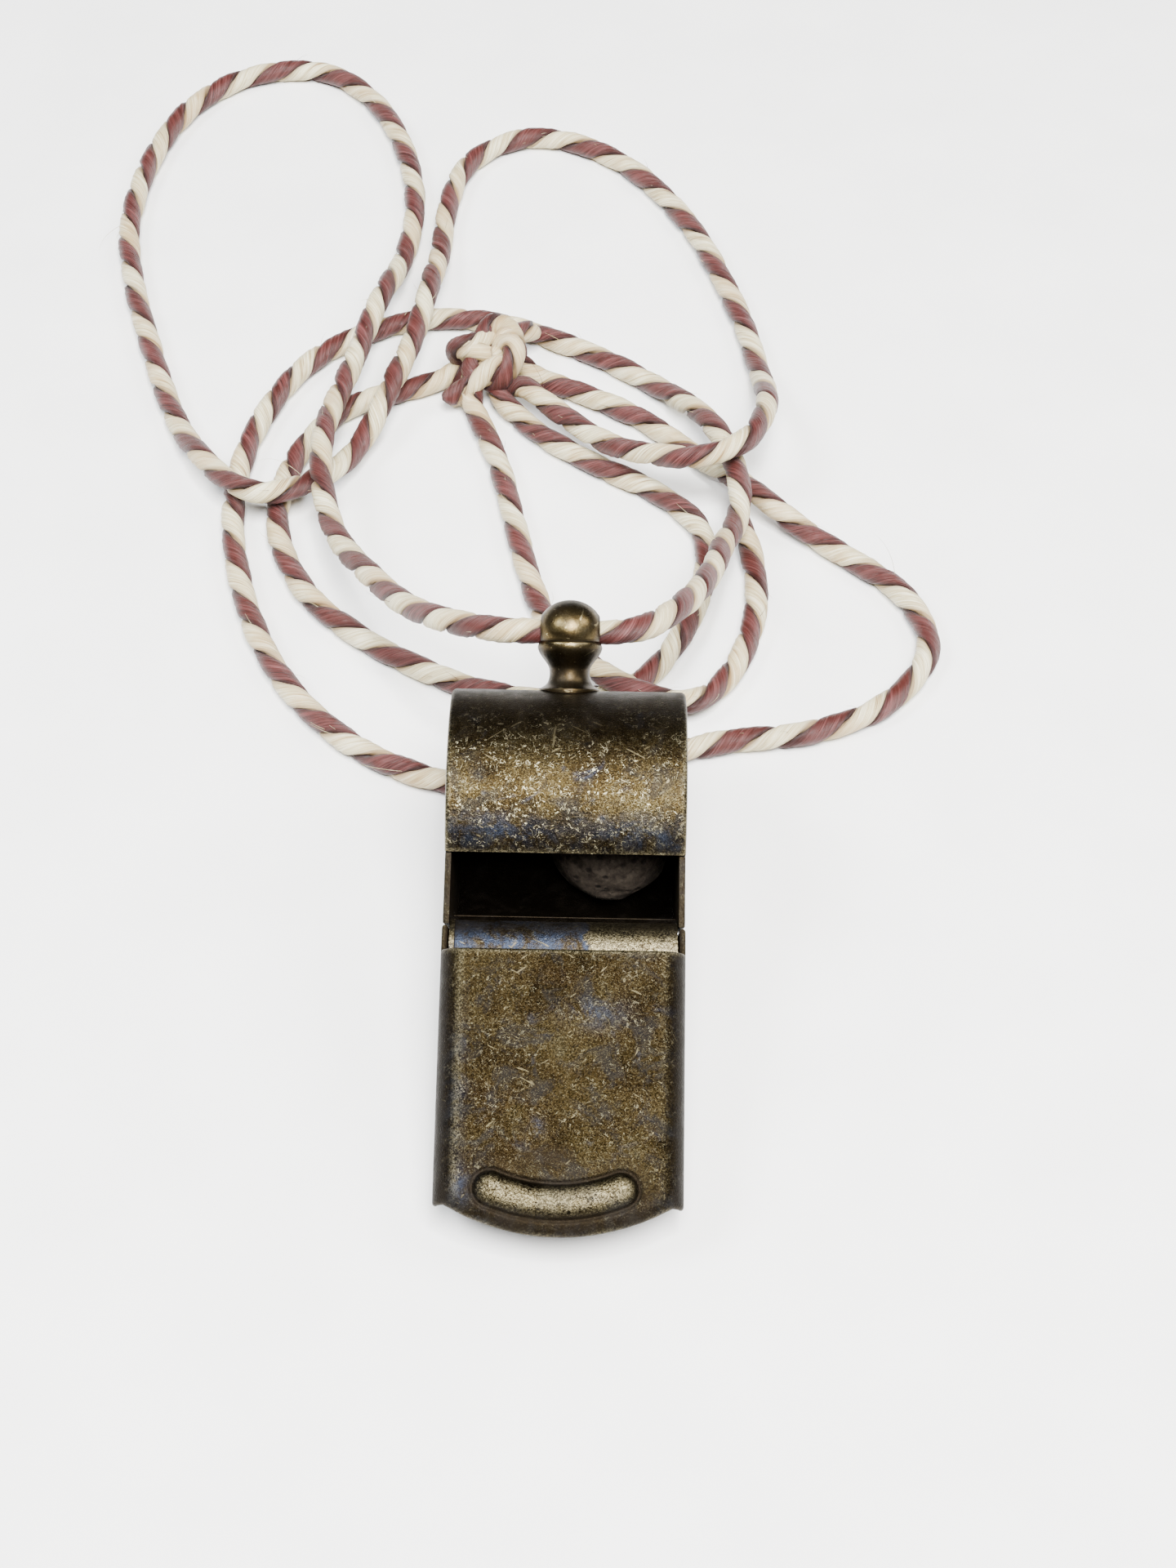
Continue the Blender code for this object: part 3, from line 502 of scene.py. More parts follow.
def two_ply(name, line, phase=0.0, step=0.40, sides=16, squeeze=False, tight=0.0):
    """Two plies laid left-handed round a route; returns the mesh object."""
    p, s = resample(line, step)
    for _ in range(2):
        p[1:-1] = 0.25 * p[:-2] + 0.5 * p[1:-1] + 0.25 * p[2:]
    t = np.gradient(p, axis=0)
    t /= np.linalg.norm(t, axis=1)[:, None]
    n = np.zeros_like(t)
    ref = np.array([0.0, 0.0, 1.0])
    n[0] = np.cross(np.cross(t[0], ref), t[0])
    if np.linalg.norm(n[0]) < 1e-3:
        n[0] = np.array([1.0, 0, 0])
    n[0] /= np.linalg.norm(n[0])
    for i in range(1, len(p)):
        v = n[i - 1] - t[i] * np.dot(n[i - 1], t[i])
        n[i] = v / np.linalg.norm(v)
    b = np.cross(t, n)
    points, faces, uvs, mats, crevice_shade = [], [], [], [], []
    for ply in range(2):
        first = len(points)
        for i in range(len(p)):
            wob = 0.10 * math.sin(s[i] * 0.45 + 2.1 * ply + phase) + 0.03 * math.sin(s[i] * 1.3 + phase)
            extra = tight * (1.0 - math.exp(-s[i] / 10.0))
            a = -2 * math.pi * (s[i] / PITCH + extra) + math.pi * ply + phase + wob
            rate = 2 * math.pi * (1 / PITCH + tight / 10.0 * math.exp(-s[i] / 10.0))
            out = math.cos(a) * n[i] + math.sin(a) * b[i]
            turn = math.sin(a) * n[i] - math.cos(a) * b[i]
            tang = t[i] + rate * PLY_OUT * turn
            tang /= np.linalg.norm(tang)
            side = np.cross(tang, out)
            side /= np.linalg.norm(side)
            size = 1.0 + 0.05 * math.sin(s[i] * 0.83 + ply * 1.3 + phase) + 0.03 * math.sin(s[i] * 2.7 + ply)
            # where the cord is squeezed into the ball's hole, the plies are thinned over the first few millimetres
            if squeeze:
                size *= 0.80 + 0.20 * min(1.0, max(0.0, (s[i] - 1.6) / 2.2))
            ends = min(s[i], s[-1] - s[i])
            if ends < 0.5:
                size *= 0.6 + 0.4 * math.sqrt(max(0.0, 1 - (1 - ends / 0.5) ** 2))
            c = p[i] + PLY_OUT * (0.92 if squeeze and s[i] < 3 else 1.0) * out
            for k in range(sides):
                v = 2 * math.pi * k / sides
                ridge = 1.0 + 0.035 * math.cos(6 * v + 0.5 * s[i]) + 0.022 * math.cos(9 * v - 0.7 * s[i] + 1.0)
                cv, sv = math.cos(v), math.sin(v)
                deep = PLY_DEEP if cv > 0 else PLY_DEEP * 0.84
                wide = PLY_WIDE * (1.0 - 0.10 * max(0.0, cv))
                q = c + size * ridge * (deep * cv * out + wide * sv * side)
                points.append(tuple(q))
                # painted shade: the side of the ply facing into the crevice gets a mask value that darkens it
                crevice_shade.append(min(1.0, max(0.0, (0.52 - cv) / 0.85)))
        for i in range(len(p) - 1):
            for k in range(sides):
                m = (k + 1) % sides
                faces.append((first + i * sides + k, first + i * sides + m, first + (i + 1) * sides + m, first + (i + 1) * sides + k))
                v0, v1 = k / sides, (k + 1) / sides
                tw = 0.030
                uvs.append(((s[i], v0 + tw * s[i]), (s[i], v1 + tw * s[i]), (s[i + 1], v1 + tw * s[i + 1]), (s[i + 1], v0 + tw * s[i + 1])))
                mats.append(ply)
        faces.append(tuple(first + k for k in range(sides - 1, -1, -1)))
        uvs.append(tuple((0, k / sides) for k in range(sides)))
        mats.append(ply)
        faces.append(tuple(first + (len(p) - 1) * sides + k for k in range(sides)))
        uvs.append(tuple((s[-1], k / sides) for k in range(sides)))
        mats.append(ply)
    mesh = bpy.data.meshes.new(name)
    mesh.from_pydata([(q[0] * MM, q[1] * MM, q[2] * MM) for q in points], [], faces)
    layer = mesh.uv_layers.new(name="UVMap")
    flat = np.array([c for f in uvs for c in f], dtype=np.float32).ravel()
    layer.data.foreach_set("uv", flat)
    mesh.materials.append(CREAM)
    mesh.materials.append(RED)
    at = mesh.attributes.new("crevice_shade", "FLOAT", "POINT")
    at.data.foreach_set("value", np.array(crevice_shade, dtype=np.float32))
    mesh.polygons.foreach_set("material_index", np.array(mats, dtype=np.int32))
    mesh.polygons.foreach_set("use_smooth", np.ones(len(faces), dtype=bool))
    mesh.update()
    bm = bmesh.new()
    bm.from_mesh(mesh)
    bmesh.ops.recalc_face_normals(bm, faces=bm.faces)
    bm.to_mesh(mesh)
    bm.free()
    obj = bpy.data.objects.new(name, mesh)
    bpy.context.scene.collection.objects.link(obj)
    return obj, p


def lift_line(line):
    """Keeps the plies on the floor side clear of it."""
    line = np.array(line, float)
    line[:, 2] = np.maximum(line[:, 2], 1.16)
    return line


knot_at = np.array(KNOT)


def knot_line(grow, turn, lift, start, stop, stub):
    """An overhand knot drawn tight, leading out into a short stub."""
    t = np.linspace(start, stop, 150)
    x = np.sin(t) + 1.8 * np.sin(2 * t)
    y = np.cos(t) - 1.8 * np.cos(2 * t)
    z = -np.sin(3 * t)
    c, s = math.cos(turn), math.sin(turn)
    line = np.stack([
        grow * (1.16 * (c * x - s * y)) + knot_at[0],
        grow * (1.04 * (s * x + c * y)) + knot_at[1],
        1.75 * z + knot_at[2] + lift,
    ], 1)
    if stub is not None:
        away = np.array(stub, float)
        steps = np.linspace(0, 1, 16)[1:, None]
        last = line[-1]
        lead = last + (last - line[-4]) * 2.0
        curve = (1 - steps) ** 2 * last + 2 * steps * (1 - steps) * lead + steps ** 2 * away
        line = np.vstack([line, curve])
    return lift_line(line)


# strand ends run on into the knot
INTO = {
    "lanyard_left": (None, [(-6.6, 72.6, 2.0), (-8.2, 74.0, 3.0)]),
    "lanyard_right": (None, [(-5.6, 75.4, 2.3), (-8.0, 76.0, 3.4)]),
    "lanyard_ring": ([(-9.4, 76.2, 2.6), (-11.6, 75.6, 2.0)], [(-8.2, 72.2, 1.8), (-9.2, 74.4, 2.4)]),
    "lanyard_tail": ([(-9.6, 75.2, 4.6), (-10.8, 73.6, 3.6)], None),
}

cords = {}
for name, phase, tight in (("lanyard_left", 3.6, 0.3), ("lanyard_right", 1.9, 0.3), ("lanyard_ring", 3.3, 0.0), ("lanyard_tail", 5.0, 0.0)):
    line = LINES[name]
    held = ROUTES[name][0][2] > 5
    before, after = INTO[name]
    if before:
        line = np.vstack([np.array(before), line[1:] if name == "lanyard_tail" else line])
    if after:
        line = np.vstack([line, np.array(after)])
    line = lift_line(line)
    if held:
        line[0, 0] += 0.2 if line[1, 0] > 0 else -0.2
    piece, path = two_ply("cord_" + name[8:], line, phase, squeeze=held, tight=tight)
    cords[name] = (piece, path)

knot, knot_path = two_ply("cord_knot", knot_line(1.12, 0.5, 0.9, -0.15, 2 * math.pi - 0.75, (-4.6, 80.6, 2.6)), 0.9, 0.35)
knot_b, _ = two_ply("cord_knot_wrap", knot_line(0.86, 2.4, 0.3, 0.0, 2 * math.pi - 0.9, (-13.2, 71.0, 1.3)), 2.6, 0.35)
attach(knot, "whistle")
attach(knot_b, "whistle")
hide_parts("lanyard_knot")

def fuzz(name, path, count, seed):
    """Loose fibres standing off the cord, each rooted inside a ply."""
    rng = np.random.default_rng(seed)
    points, faces, mats = [], [], []
    tangent = np.gradient(path, axis=0)
    tangent /= np.linalg.norm(tangent, axis=1)[:, None]
    for k in range(count):
        i = int(rng.integers(12, len(path) - 12))
        long = k % 16 == 0
        t = tangent[i] * (1 if rng.random() < 0.5 else -1)
        v = rng.normal(size=3)
        v -= t * np.dot(v, t)
        v /= np.linalg.norm(v)
        v[2] = abs(v[2])
        reach = (2.4 + 2.6 * rng.random()) if long else (0.7 + 1.1 * rng.random())
        root = path[i] + v * 0.75
        bend = rng.normal(size=3) * 0.35 * reach
        tip = root + (t * 0.86 + v * (0.42 if long else 0.55)) * reach + bend * 0.3
        mid = root + (t * 0.35 + v * 0.45) * reach + bend * 0.25
        first = len(points)
        steps = 9 if long else 6
        for j in range(steps + 1):
            q = j / steps
            c = (1 - q) ** 2 * root + 2 * q * (1 - q) * mid + q * q * tip
            c[2] = max(c[2], 0.10)
            r = 0.030 * (1.0 - 0.75 * q)
            d = 2 * (1 - q) * (mid - root) + 2 * q * (tip - mid)
            d /= np.linalg.norm(d)
            a = np.cross(d, (0.3, 0.2, 0.93))
            a /= np.linalg.norm(a)
            b = np.cross(d, a)
            for w in range(3):
                an = 2 * math.pi * w / 3
                points.append(tuple(c + r * (math.cos(an) * a + math.sin(an) * b)))
        for j in range(steps):
            for w in range(3):
                u = (w + 1) % 3
                faces.append((first + j * 3 + w, first + j * 3 + u, first + (j + 1) * 3 + u, first + (j + 1) * 3 + w))
        faces.append((first + 2, first + 1, first))
        faces.append((first + steps * 3, first + steps * 3 + 1, first + steps * 3 + 2))
        mats += [1 if rng.random() < 0.4 else 0] * (steps * 3 + 2)
    mesh = bpy.data.meshes.new(name)
    mesh.from_pydata([(q[0] * MM, q[1] * MM, q[2] * MM) for q in points], [], faces)
    layer = mesh.uv_layers.new(name="UVMap")
    at = np.array([points[loop.vertex_index][:2] for loop in mesh.loops], dtype=np.float32)
    layer.data.foreach_set("uv", at.ravel())
    mesh.materials.append(CREAM)
    mesh.materials.append(RED)
    mesh.polygons.foreach_set("material_index", np.array(mats, dtype=np.int32))
    mesh.update()
    bm = bmesh.new()
    bm.from_mesh(mesh)
    bmesh.ops.recalc_face_normals(bm, faces=bm.faces)
    bm.to_mesh(mesh)
    bm.free()
    obj = bpy.data.objects.new(name, mesh)
    bpy.context.scene.collection.objects.link(obj)
    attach(obj, "whistle")
    return obj


for name, (piece, path) in cords.items():
    hairs = fuzz(piece.name + "_fuzz", path, int(len(path) * 0.10), 11 + len(path))
    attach(piece, "whistle")
    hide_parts(name)


# ---------------------------------------------------------------- brass work
def rounded_profile(half, r_out, r_in, edge, flat_steps, edge_steps=5):
    """Across the sheet: outer line left to right with rounded edges, then the inner line back."""
    outer = []
    for k in range(edge_steps + 1):
        a = math.pi - (math.pi / 2) * k / edge_steps
        outer.append((-half + edge + edge * math.cos(a), r_out - edge + edge * math.sin(a)))
    for k in range(1, flat_steps):
        outer.append((-half + edge + (2 * half - 2 * edge) * k / flat_steps, r_out))
    for k in range(edge_steps + 1):
        a = math.pi / 2 - (math.pi / 2) * k / edge_steps
        outer.append((half - edge + edge * math.cos(a), r_out - edge + edge * math.sin(a)))
    inner = [(half - 0.03, r_in)] + [(half - (2 * half) * k / 8, r_in) for k in range(1, 8)] + [(-half + 0.03, r_in)]
    return outer, inner


def falloff(d, reach):
    return max(0.0, 1.0 - d / reach) ** 2


def barrel_sheet():
    outer, inner = rounded_profile(HALF, BARREL_R, BARREL_R - SHEET, 0.34, 64)
    span = 360.0 - (WRAP_END - LIP_ANGLE)
    arcs = [0.0, 0.10, 0.22, 0.4, 0.7, 1.1, 1.7]
    arcs += list(np.linspace(2.6, span, 200))
    points, wear_and_highlight, soot_and_shade, blue = [], [], [], []
    rings = []
    for i, d in enumerate(arcs):
        a = LIP_ANGLE - d
        arc_mm = math.radians(d) * BARREL_R
        thin = min(1.0, 0.42 + 0.58 * min(1.0, arc_mm / 0.75))
        if i == 0:
            thin = 0.18
        ring = []
        for x, r in outer:
            inside = (abs(x) < HALF - 0.3)
            lift = dent(x, a * 0.17, 3.0, 4.0, 3.4, 0.10) if inside and 2.0 < d < span - 4 else 0.0
            if i == 0:
                r = r - 0.10
            if d > span - 2.6:
                r = min(r, BARREL_R - (SHEET - 0.06) * min(1.0, (d - span + 2.6) / 1.6))
            ring.append(on_barrel(x, r + lift, a))
            edge = min(HALF - abs(x), 9.0)
            wear_and_highlight.append(min(1.0, 0.85 * falloff(edge, 0.55) + 0.9 * falloff(arc_mm, 0.45)))
            # darker top band: partly tarnish, partly painted shade standing in for the dark it reflects; painted shade
            # on the rear and underside, near black under the mouthpiece
            top = min(1.0, max(0.0, (95.0 + 3.0 * noise.noise(Vector((x * 0.3, 7.0, 2.0))) - a) / 26.0))
            soot_and_shade.append(0.90 * top ** 0.75 if a > 20 else (0.55 if a > -120 else 1.9))
            low = max(0.0, 1.0 - abs(a - 141.0) / 13.0)
            side = 0.55 + 0.45 * noise.noise(Vector((x * 0.28 + 3.0, a * 0.04, 1.0)))
            blue.append(min(1.0, 1.25 * low * side + 0.5 * falloff(x + HALF, 3.0) * low))
        for x, r in inner:
            ring.append(on_barrel(x, BARREL_R - SHEET * thin - (0.10 if i == 0 else 0.0) * 0, a))
            wear_and_highlight.append(0.0)
            # painted shade: the inside face is darkened near black
            soot_and_shade.append(1.9)
            blue.append(0.0)
        rings.append(ring)
    points, faces = sweep(rings)
    obj = make("barrel_sheet", points, faces, [BARREL], {"wear_and_highlight": wear_and_highlight, "soot_and_shade": soot_and_shade, "blue": blue}, sharp=32)
    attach(obj, "whistle")
    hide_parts("barrel_wrap")


def cheek_outline(steps=150):
    gap = 0.08
    r_in = BARREL_R - SHEET - gap
    out = []
    first, last = 360.0 - (360.0 - WRAP_END) + 8.0, 360.0 + LIP_ANGLE - 0.3
    for i in range(steps + 1):
        out.append(on_barrel(0, r_in, first + (last - first) * i / steps)[1:])
    out.append(on_barrel(0, BARREL_R - SHEET + 0.1, LIP_ANGLE + 0.9)[1:])
    out.append(on_barrel(0, BARREL_R - 0.12, LIP_ANGLE + 0.9)[1:])
    a = on_barrel(0, BARREL_R - 0.12, LIP_ANGLE + 0.9)[1:]
    b = on_plate(0, FLANGE_STEP + 0.6, -2.25)[1:]
    for k in range(1, 14):
        t = k / 14
        sag = -0.10 * math.sin(math.pi * t)
        out.append((a[0] + (b[0] - a[0]) * t, a[1] + (b[1] - a[1]) * t + sag))
    out.append(b)
    out.append(on_plate(0, FLANGE_STEP + 0.12, -2.45)[1:])
    bottom = JOIN_U - 0.55
    out.append(on_plate(0, bottom, base_w(bottom) + 0.12)[1:])
    out.append(on_barrel(0, BARREL_R + 0.1, WRAP_END + 2.6)[1:])
    out.append(on_barrel(0, BARREL_R + 0.1, WRAP_END - 0.7)[1:])
    out.append(on_barrel(0, r_in, WRAP_END - 0.7)[1:])
    return out


def inset_outline(line, by):
    """A closed outline moved inwards (it runs anticlockwise or clockwise alike)."""
    p = np.array(line, float)
    area = 0.5 * np.sum(p[:, 0] * np.roll(p[:, 1], -1) - np.roll(p[:, 0], -1) * p[:, 1])
    d1 = p - np.roll(p, 1, 0)
    d2 = np.roll(p, -1, 0) - p
    n1 = np.stack([-d1[:, 1], d1[:, 0]], 1) / np.linalg.norm(d1, axis=1)[:, None]
    n2 = np.stack([-d2[:, 1], d2[:, 0]], 1) / np.linalg.norm(d2, axis=1)[:, None]
    n = n1 + n2
    n /= np.maximum(np.linalg.norm(n, axis=1)[:, None], 0.5)
    return p + n * by * (1 if area > 0 else -1)


def cheek(name, node, side):
    outline = cheek_outline()
    outer, inner = HALF - 0.05, HALF - 0.05 - SHEET
    rings, wear_and_highlight, soot_and_shade, blue = [], [], [], []
    for x, inset in ((inner, 0.0), (outer - 0.09, 0.0), (outer - 0.03, 0.03), (outer, 0.10)):
        line = inset_outline(outline, inset) if inset else outline
        rings.append([(side * x, y, z) for y, z in line])
        for y, z in line:
            u, w = plate_of(y, z)
            top = 1.0 if (y < 4.2 and w > -3.2 and u > 24) else 0.35
            wear_and_highlight.append(0.10 * top if x > inner else 0.05)
            # painted shade: the inner face, inside the whistle, is darker than the outer one
            soot_and_shade.append(0.62 if x > inner else 0.85)
            blue.append(0.25)
    points, faces = sweep(rings)
    obj = make(name, points, faces, [CHEEK], {"wear_and_highlight": wear_and_highlight, "soot_and_shade": soot_and_shade, "blue": blue}, sharp=40)
    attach(obj, "whistle")
    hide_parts(node)


RIB_X, RIB_U, RIB_ARC = -0.2, 2.62, 13.3
RIB_HALF, RIB_H, RIB_REACH = 1.27, 0.5, 5.05


def rib_distance(x, u):
    cx, cu = x - RIB_X, u - (RIB_U + RIB_ARC)
    reach = math.asin(RIB_REACH / RIB_ARC)
    phi = math.atan2(cx, -cu)
    if abs(phi) < reach:
        return abs(math.hypot(cx, cu) - RIB_ARC)
    s = math.copysign(1.0, phi)
    return math.hypot(cx - s * RIB_ARC * math.sin(reach), cu + RIB_ARC * math.cos(reach))


def rib_relief(x, u):
    """Pressed-up rib with the die's groove round it and a shallow dished border."""
    d = rib_distance(x, u)
    h = 0.0
    if d < RIB_HALF:
        t = d / RIB_HALF
        h += (RIB_H + 0.06) * (1.0 - t ** 2.4) ** 0.62
    groove = (d - RIB_HALF - 0.16) / 0.20
    h -= 0.16 * math.exp(-groove * groove)
    border = (d - RIB_HALF - 0.85) / 0.65
    h -= 0.055 * math.exp(-border * border)
    rim = (d - RIB_HALF - 1.9) / 0.5
    h += 0.03 * math.exp(-rim * rim)
    return h


def cover_line():
    """Across the cover, left flange foot to right flange foot: (kind, value)."""
    left = [("flange", f) for f in (1.0, 0.85, 0.7, 0.5, 0.35, 0.2, 0.1, 0.04, 0.0)]
    left += [("round", a) for a in np.linspace(176, 94, 15)]
    half_flat = HALF - CORNER_R
    n = 132
    flat = [("flat", -half_flat + 2 * half_flat * i / n) for i in range(n + 1)]
    right = [(k, 180 - v if k == "round" else -v if v else -0.0) for k, v in reversed(left)]
    return left + flat + right


def cover_at(kind, value, t, off, side):
    half_flat = HALF - CORNER_R
    if kind == "flange":
        f = abs(value)
        x, n = side * HALF, (float(side), 0.0)
        u0 = MOUTH_SAG + FLANGE_RAKE * f
        run = (JOIN_U - 0.85 - FLANGE_STEP)
        u1 = PLATE_LEN + 0.25 + (FLANGE_STEP - PLATE_LEN - 0.25) * min(1.0, f / 0.04) if f < 0.04 else FLANGE_STEP + run * (f - 0.04) / 0.96
        u = u0 + (u1 - u0) * t
        w = -CORNER_R + (base_w(u) + CORNER_R) * f
        return [x - off * n[0], u, w], n
    if kind == "flat":
        x, w, n = value, 0.0, (0.0, 1.0)
        u0, u1 = mouth_u(x), PLATE_LEN
    else:
        a = math.radians(value)
        n = (math.cos(a), math.sin(a))
        x = math.copysign(half_flat, n[0]) + CORNER_R * n[0]
        w = -CORNER_R + CORNER_R * n[1]
        u0, u1 = mouth_u(x), PLATE_LEN + 0.25 * (1 - n[1])
    u = u0 + (u1 - u0) * t
    lift = 0.0
    if kind == "flat" or abs(n[0]) < 0.6:
        fade = min(1.0, max(0.0, (HALF - 0.9 - abs(x)) / 1.2))
        lift = rib_relief(x, u) * fade + 0.6 * dent(x, u, 0.0, 9.0, 3.6, 0.09)
    lift -= edge_drop(x, u) * n[1]
    return [x - off * n[0], u, w - off * n[1] + lift], n


def cover():
    section = cover_line()
    ts = [0.0, 0.004, 0.009, 0.016, 0.026]
    ts += list(np.linspace(0.036, 0.40, 92))
    ts += list(np.linspace(0.41, 0.975, 60)) + [0.985, 0.992, 0.997, 1.0]
    rings, wear_and_highlight, soot_and_shade, blue = [], [], [], []
    for j, t in enumerate(ts):
        # both ends of the sheet are dressed round
        end = min(j, len(ts) - 1 - j)
        pull = (0.17, 0.07, 0.02, 0.0)[end] if end < 4 else 0.0
        outer, inner = [], []
        for i, (kind, value) in enumerate(section):
            side = -1 if i < len(section) / 2 else 1
            p, n = cover_at(kind, value, t, pull, side)
            outer.append(on_plate(*p))
            d = rib_distance(p[0], p[1])
            edge_u = min(p[1] - mouth_u(min(abs(p[0]), 9.0)), PLATE_LEN - p[1]) if kind != "flange" else 2.0
            k = 1.0 * falloff(max(0.0, PLATE_LEN - p[1]), 0.45) if kind != "flange" else 0.3
            k += 0.55 * falloff(max(0.0, p[1] - mouth_u(p[0])), 0.5)
            if d < RIB_HALF:
                k += 0.40 * (1.0 - (d / RIB_HALF) ** 2)
            # painted highlight: a bright strip where the rounded edge starts to turn, stronger on the left
            if kind == "round":
                k += (0.16 if side < 0 else 0.05) * max(0.0, 1.0 - abs(abs(n[0]) - 0.24) / 0.22)
            wear_and_highlight.append(min(1.0, k))
            s = 0.95 * math.exp(-((d - RIB_HALF - 0.14) / 0.20) ** 2) + 0.28 * math.exp(-((d - RIB_HALF - 0.6) / 0.7) ** 2)
            # painted shade: the band along the turned-down mouth edge is darkened, standing in for the dark it reflects
            s += 0.85 * falloff(max(0.0, p[1] - mouth_u(p[0]) - 0.4), 2.2) * (0.75 + 0.25 * math.sin(p[0] * 1.3))
            s += 0.75 * max(0.0, 1.0 - abs(p[1] - 6.0) / 1.2) * max(0.0, 1.0 - abs(p[0] + 1.0) / 2.6) ** 0.7
            # painted shade: the flange sides and the sideways-facing part of the rounded edges are darkened
            if kind == "flange":
                s += 0.85
            elif kind == "round":
                s += 0.92 * min(1.0, max(0.0, (abs(n[0]) - 0.36 - 0.10 * noise.noise(Vector((p[1] * 0.5, side, 3.0)))) / 0.46)) ** 1.3
            soot_and_shade.append(min(1.0, max(0.0, s)))
            b = 0.9 * falloff(max(0.0, p[1] - mouth_u(p[0]) - 0.2), 1.4) * (0.55 + 0.45 * math.sin(p[0] * 0.9 + 0.6))
            b += 1.1 * math.exp(-(((p[0] + 7.7) / 0.8) ** 2 + ((p[1] - 3.2) / 1.6) ** 2))
            b += 1.0 * math.exp(-(((p[0] + 1.7) / 0.5) ** 2 + ((p[1] - 8.3) / 0.7) ** 2))
            b += 0.8 * math.exp(-(((p[0] - 2.6) / 2.0) ** 2 + ((p[1] - 17.4) / 1.1) ** 2))
            b += 0.5 * max(0.0, 1.0 - abs(p[0] + 8.2) / 1.2) * max(0.0, 1.0 - abs(p[1] - 11.0) / 9.0)
            blue.append(min(1.0, max(0.0, b)))
        for i, (kind, value) in enumerate(section):
            side = -1 if i < len(section) / 2 else 1
            p, n = cover_at(kind, value, t, SHEET - pull, side)
            inner.append(on_plate(*p))
        wear_and_highlight.extend([0.0] * len(section))
        # painted shade: the underside of the cover, inside the mouthpiece, is darkened
        soot_and_shade.extend([0.7] * len(section))
        blue.extend([0.0] * len(section))
        rings.append(outer + inner[::-1])
    points, faces = sweep(rings)
    faces = faces[:-2]
    n = len(section)
    last = (len(ts) - 1) * 2 * n
    for i in range(n - 1):
        a, b, c, d = i, i + 1, 2 * n - 2 - i, 2 * n - 1 - i
        faces.append((d, c, b, a))
        faces.append((last + a, last + b, last + c, last + d))
    obj = make("cover_sheet", points, faces, [COVER], {"wear_and_highlight": wear_and_highlight, "soot_and_shade": soot_and_shade, "blue": blue}, sharp=40)
    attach(obj, "whistle")
    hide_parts("mouthpiece_cover")


def base():
    inset = HALF - SHEET - 0.1
    xs = [-inset + 2 * inset * i / 60 for i in range(61)]
    end_u = JOIN_U - 0.16
    rings, wear_and_highlight, soot_and_shade, blue = [], [], [], []
    for x in xs:
        u0 = mouth_u(x) + BASE_BACK
        low = [(u0 + 0.12, 0.0), (u0 + 0.6, 0.0)] + [(u0 + 0.6 + (end_u - u0 - 0.6) * k / 12, 0.0) for k in range(1, 13)]
        high = [(end_u - 0.08, SHEET)] + [(end_u - 0.08 - (end_u - u0 - 0.6) * k / 12, SHEET) for k in range(1, 12)] + [(u0 + 0.22, SHEET), (u0 + 0.05, SHEET * 0.78), (u0, SHEET * 0.45), (u0 + 0.03, SHEET * 0.16)]
        ring = []
        for u, up in low + high:
            ring.append(on_plate(x, u, base_w(u) + up))
            wear_and_highlight.append(0.9 * falloff(u - u0, 0.5))
            # painted shade: the upper face, inside the windway, is darker than the underside
            soot_and_shade.append(0.35 if up < 0.1 else 0.6)
            blue.append(0.2)
        rings.append(ring)
    points, faces = sweep(rings)
    obj = make("base_plate", points, faces, [COVER], {"wear_and_highlight": wear_and_highlight, "soot_and_shade": soot_and_shade, "blue": blue}, sharp=40)
    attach(obj, "whistle")
    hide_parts("mouthpiece_base")


def floor_line(turn=22):
    r = 2.2
    nose_u, nose_w = 25.35, -1.75
    line = [(3.4, -5.6), (5.7, -5.16), (8.0, -4.72), (11.0, -4.12), (14.0, -3.52), (16.5, -3.0), (19.0, -2.47), (21.2, -1.97), (22.3, nose_w)]
    for i in range(turn + 1):
        a = math.radians(90 - 90 * i / turn * 0.92)
        line.append((nose_u - r + r * math.cos(a), nose_w - r + r * math.sin(a)))
    line += [(25.68, -5.2), (26.0, -7.0), (26.28, -8.35), (26.55, -9.7)]
    return line


def offset_line(line, by):
    out = []
    for i, p in enumerate(line):
        a = Vector(line[max(i - 1, 0)])
        b = Vector(line[min(i + 1, len(line) - 1)])
        d = (b - a).normalized()
        out.append((p[0] - d.y * by, p[1] + d.x * by))
    return out


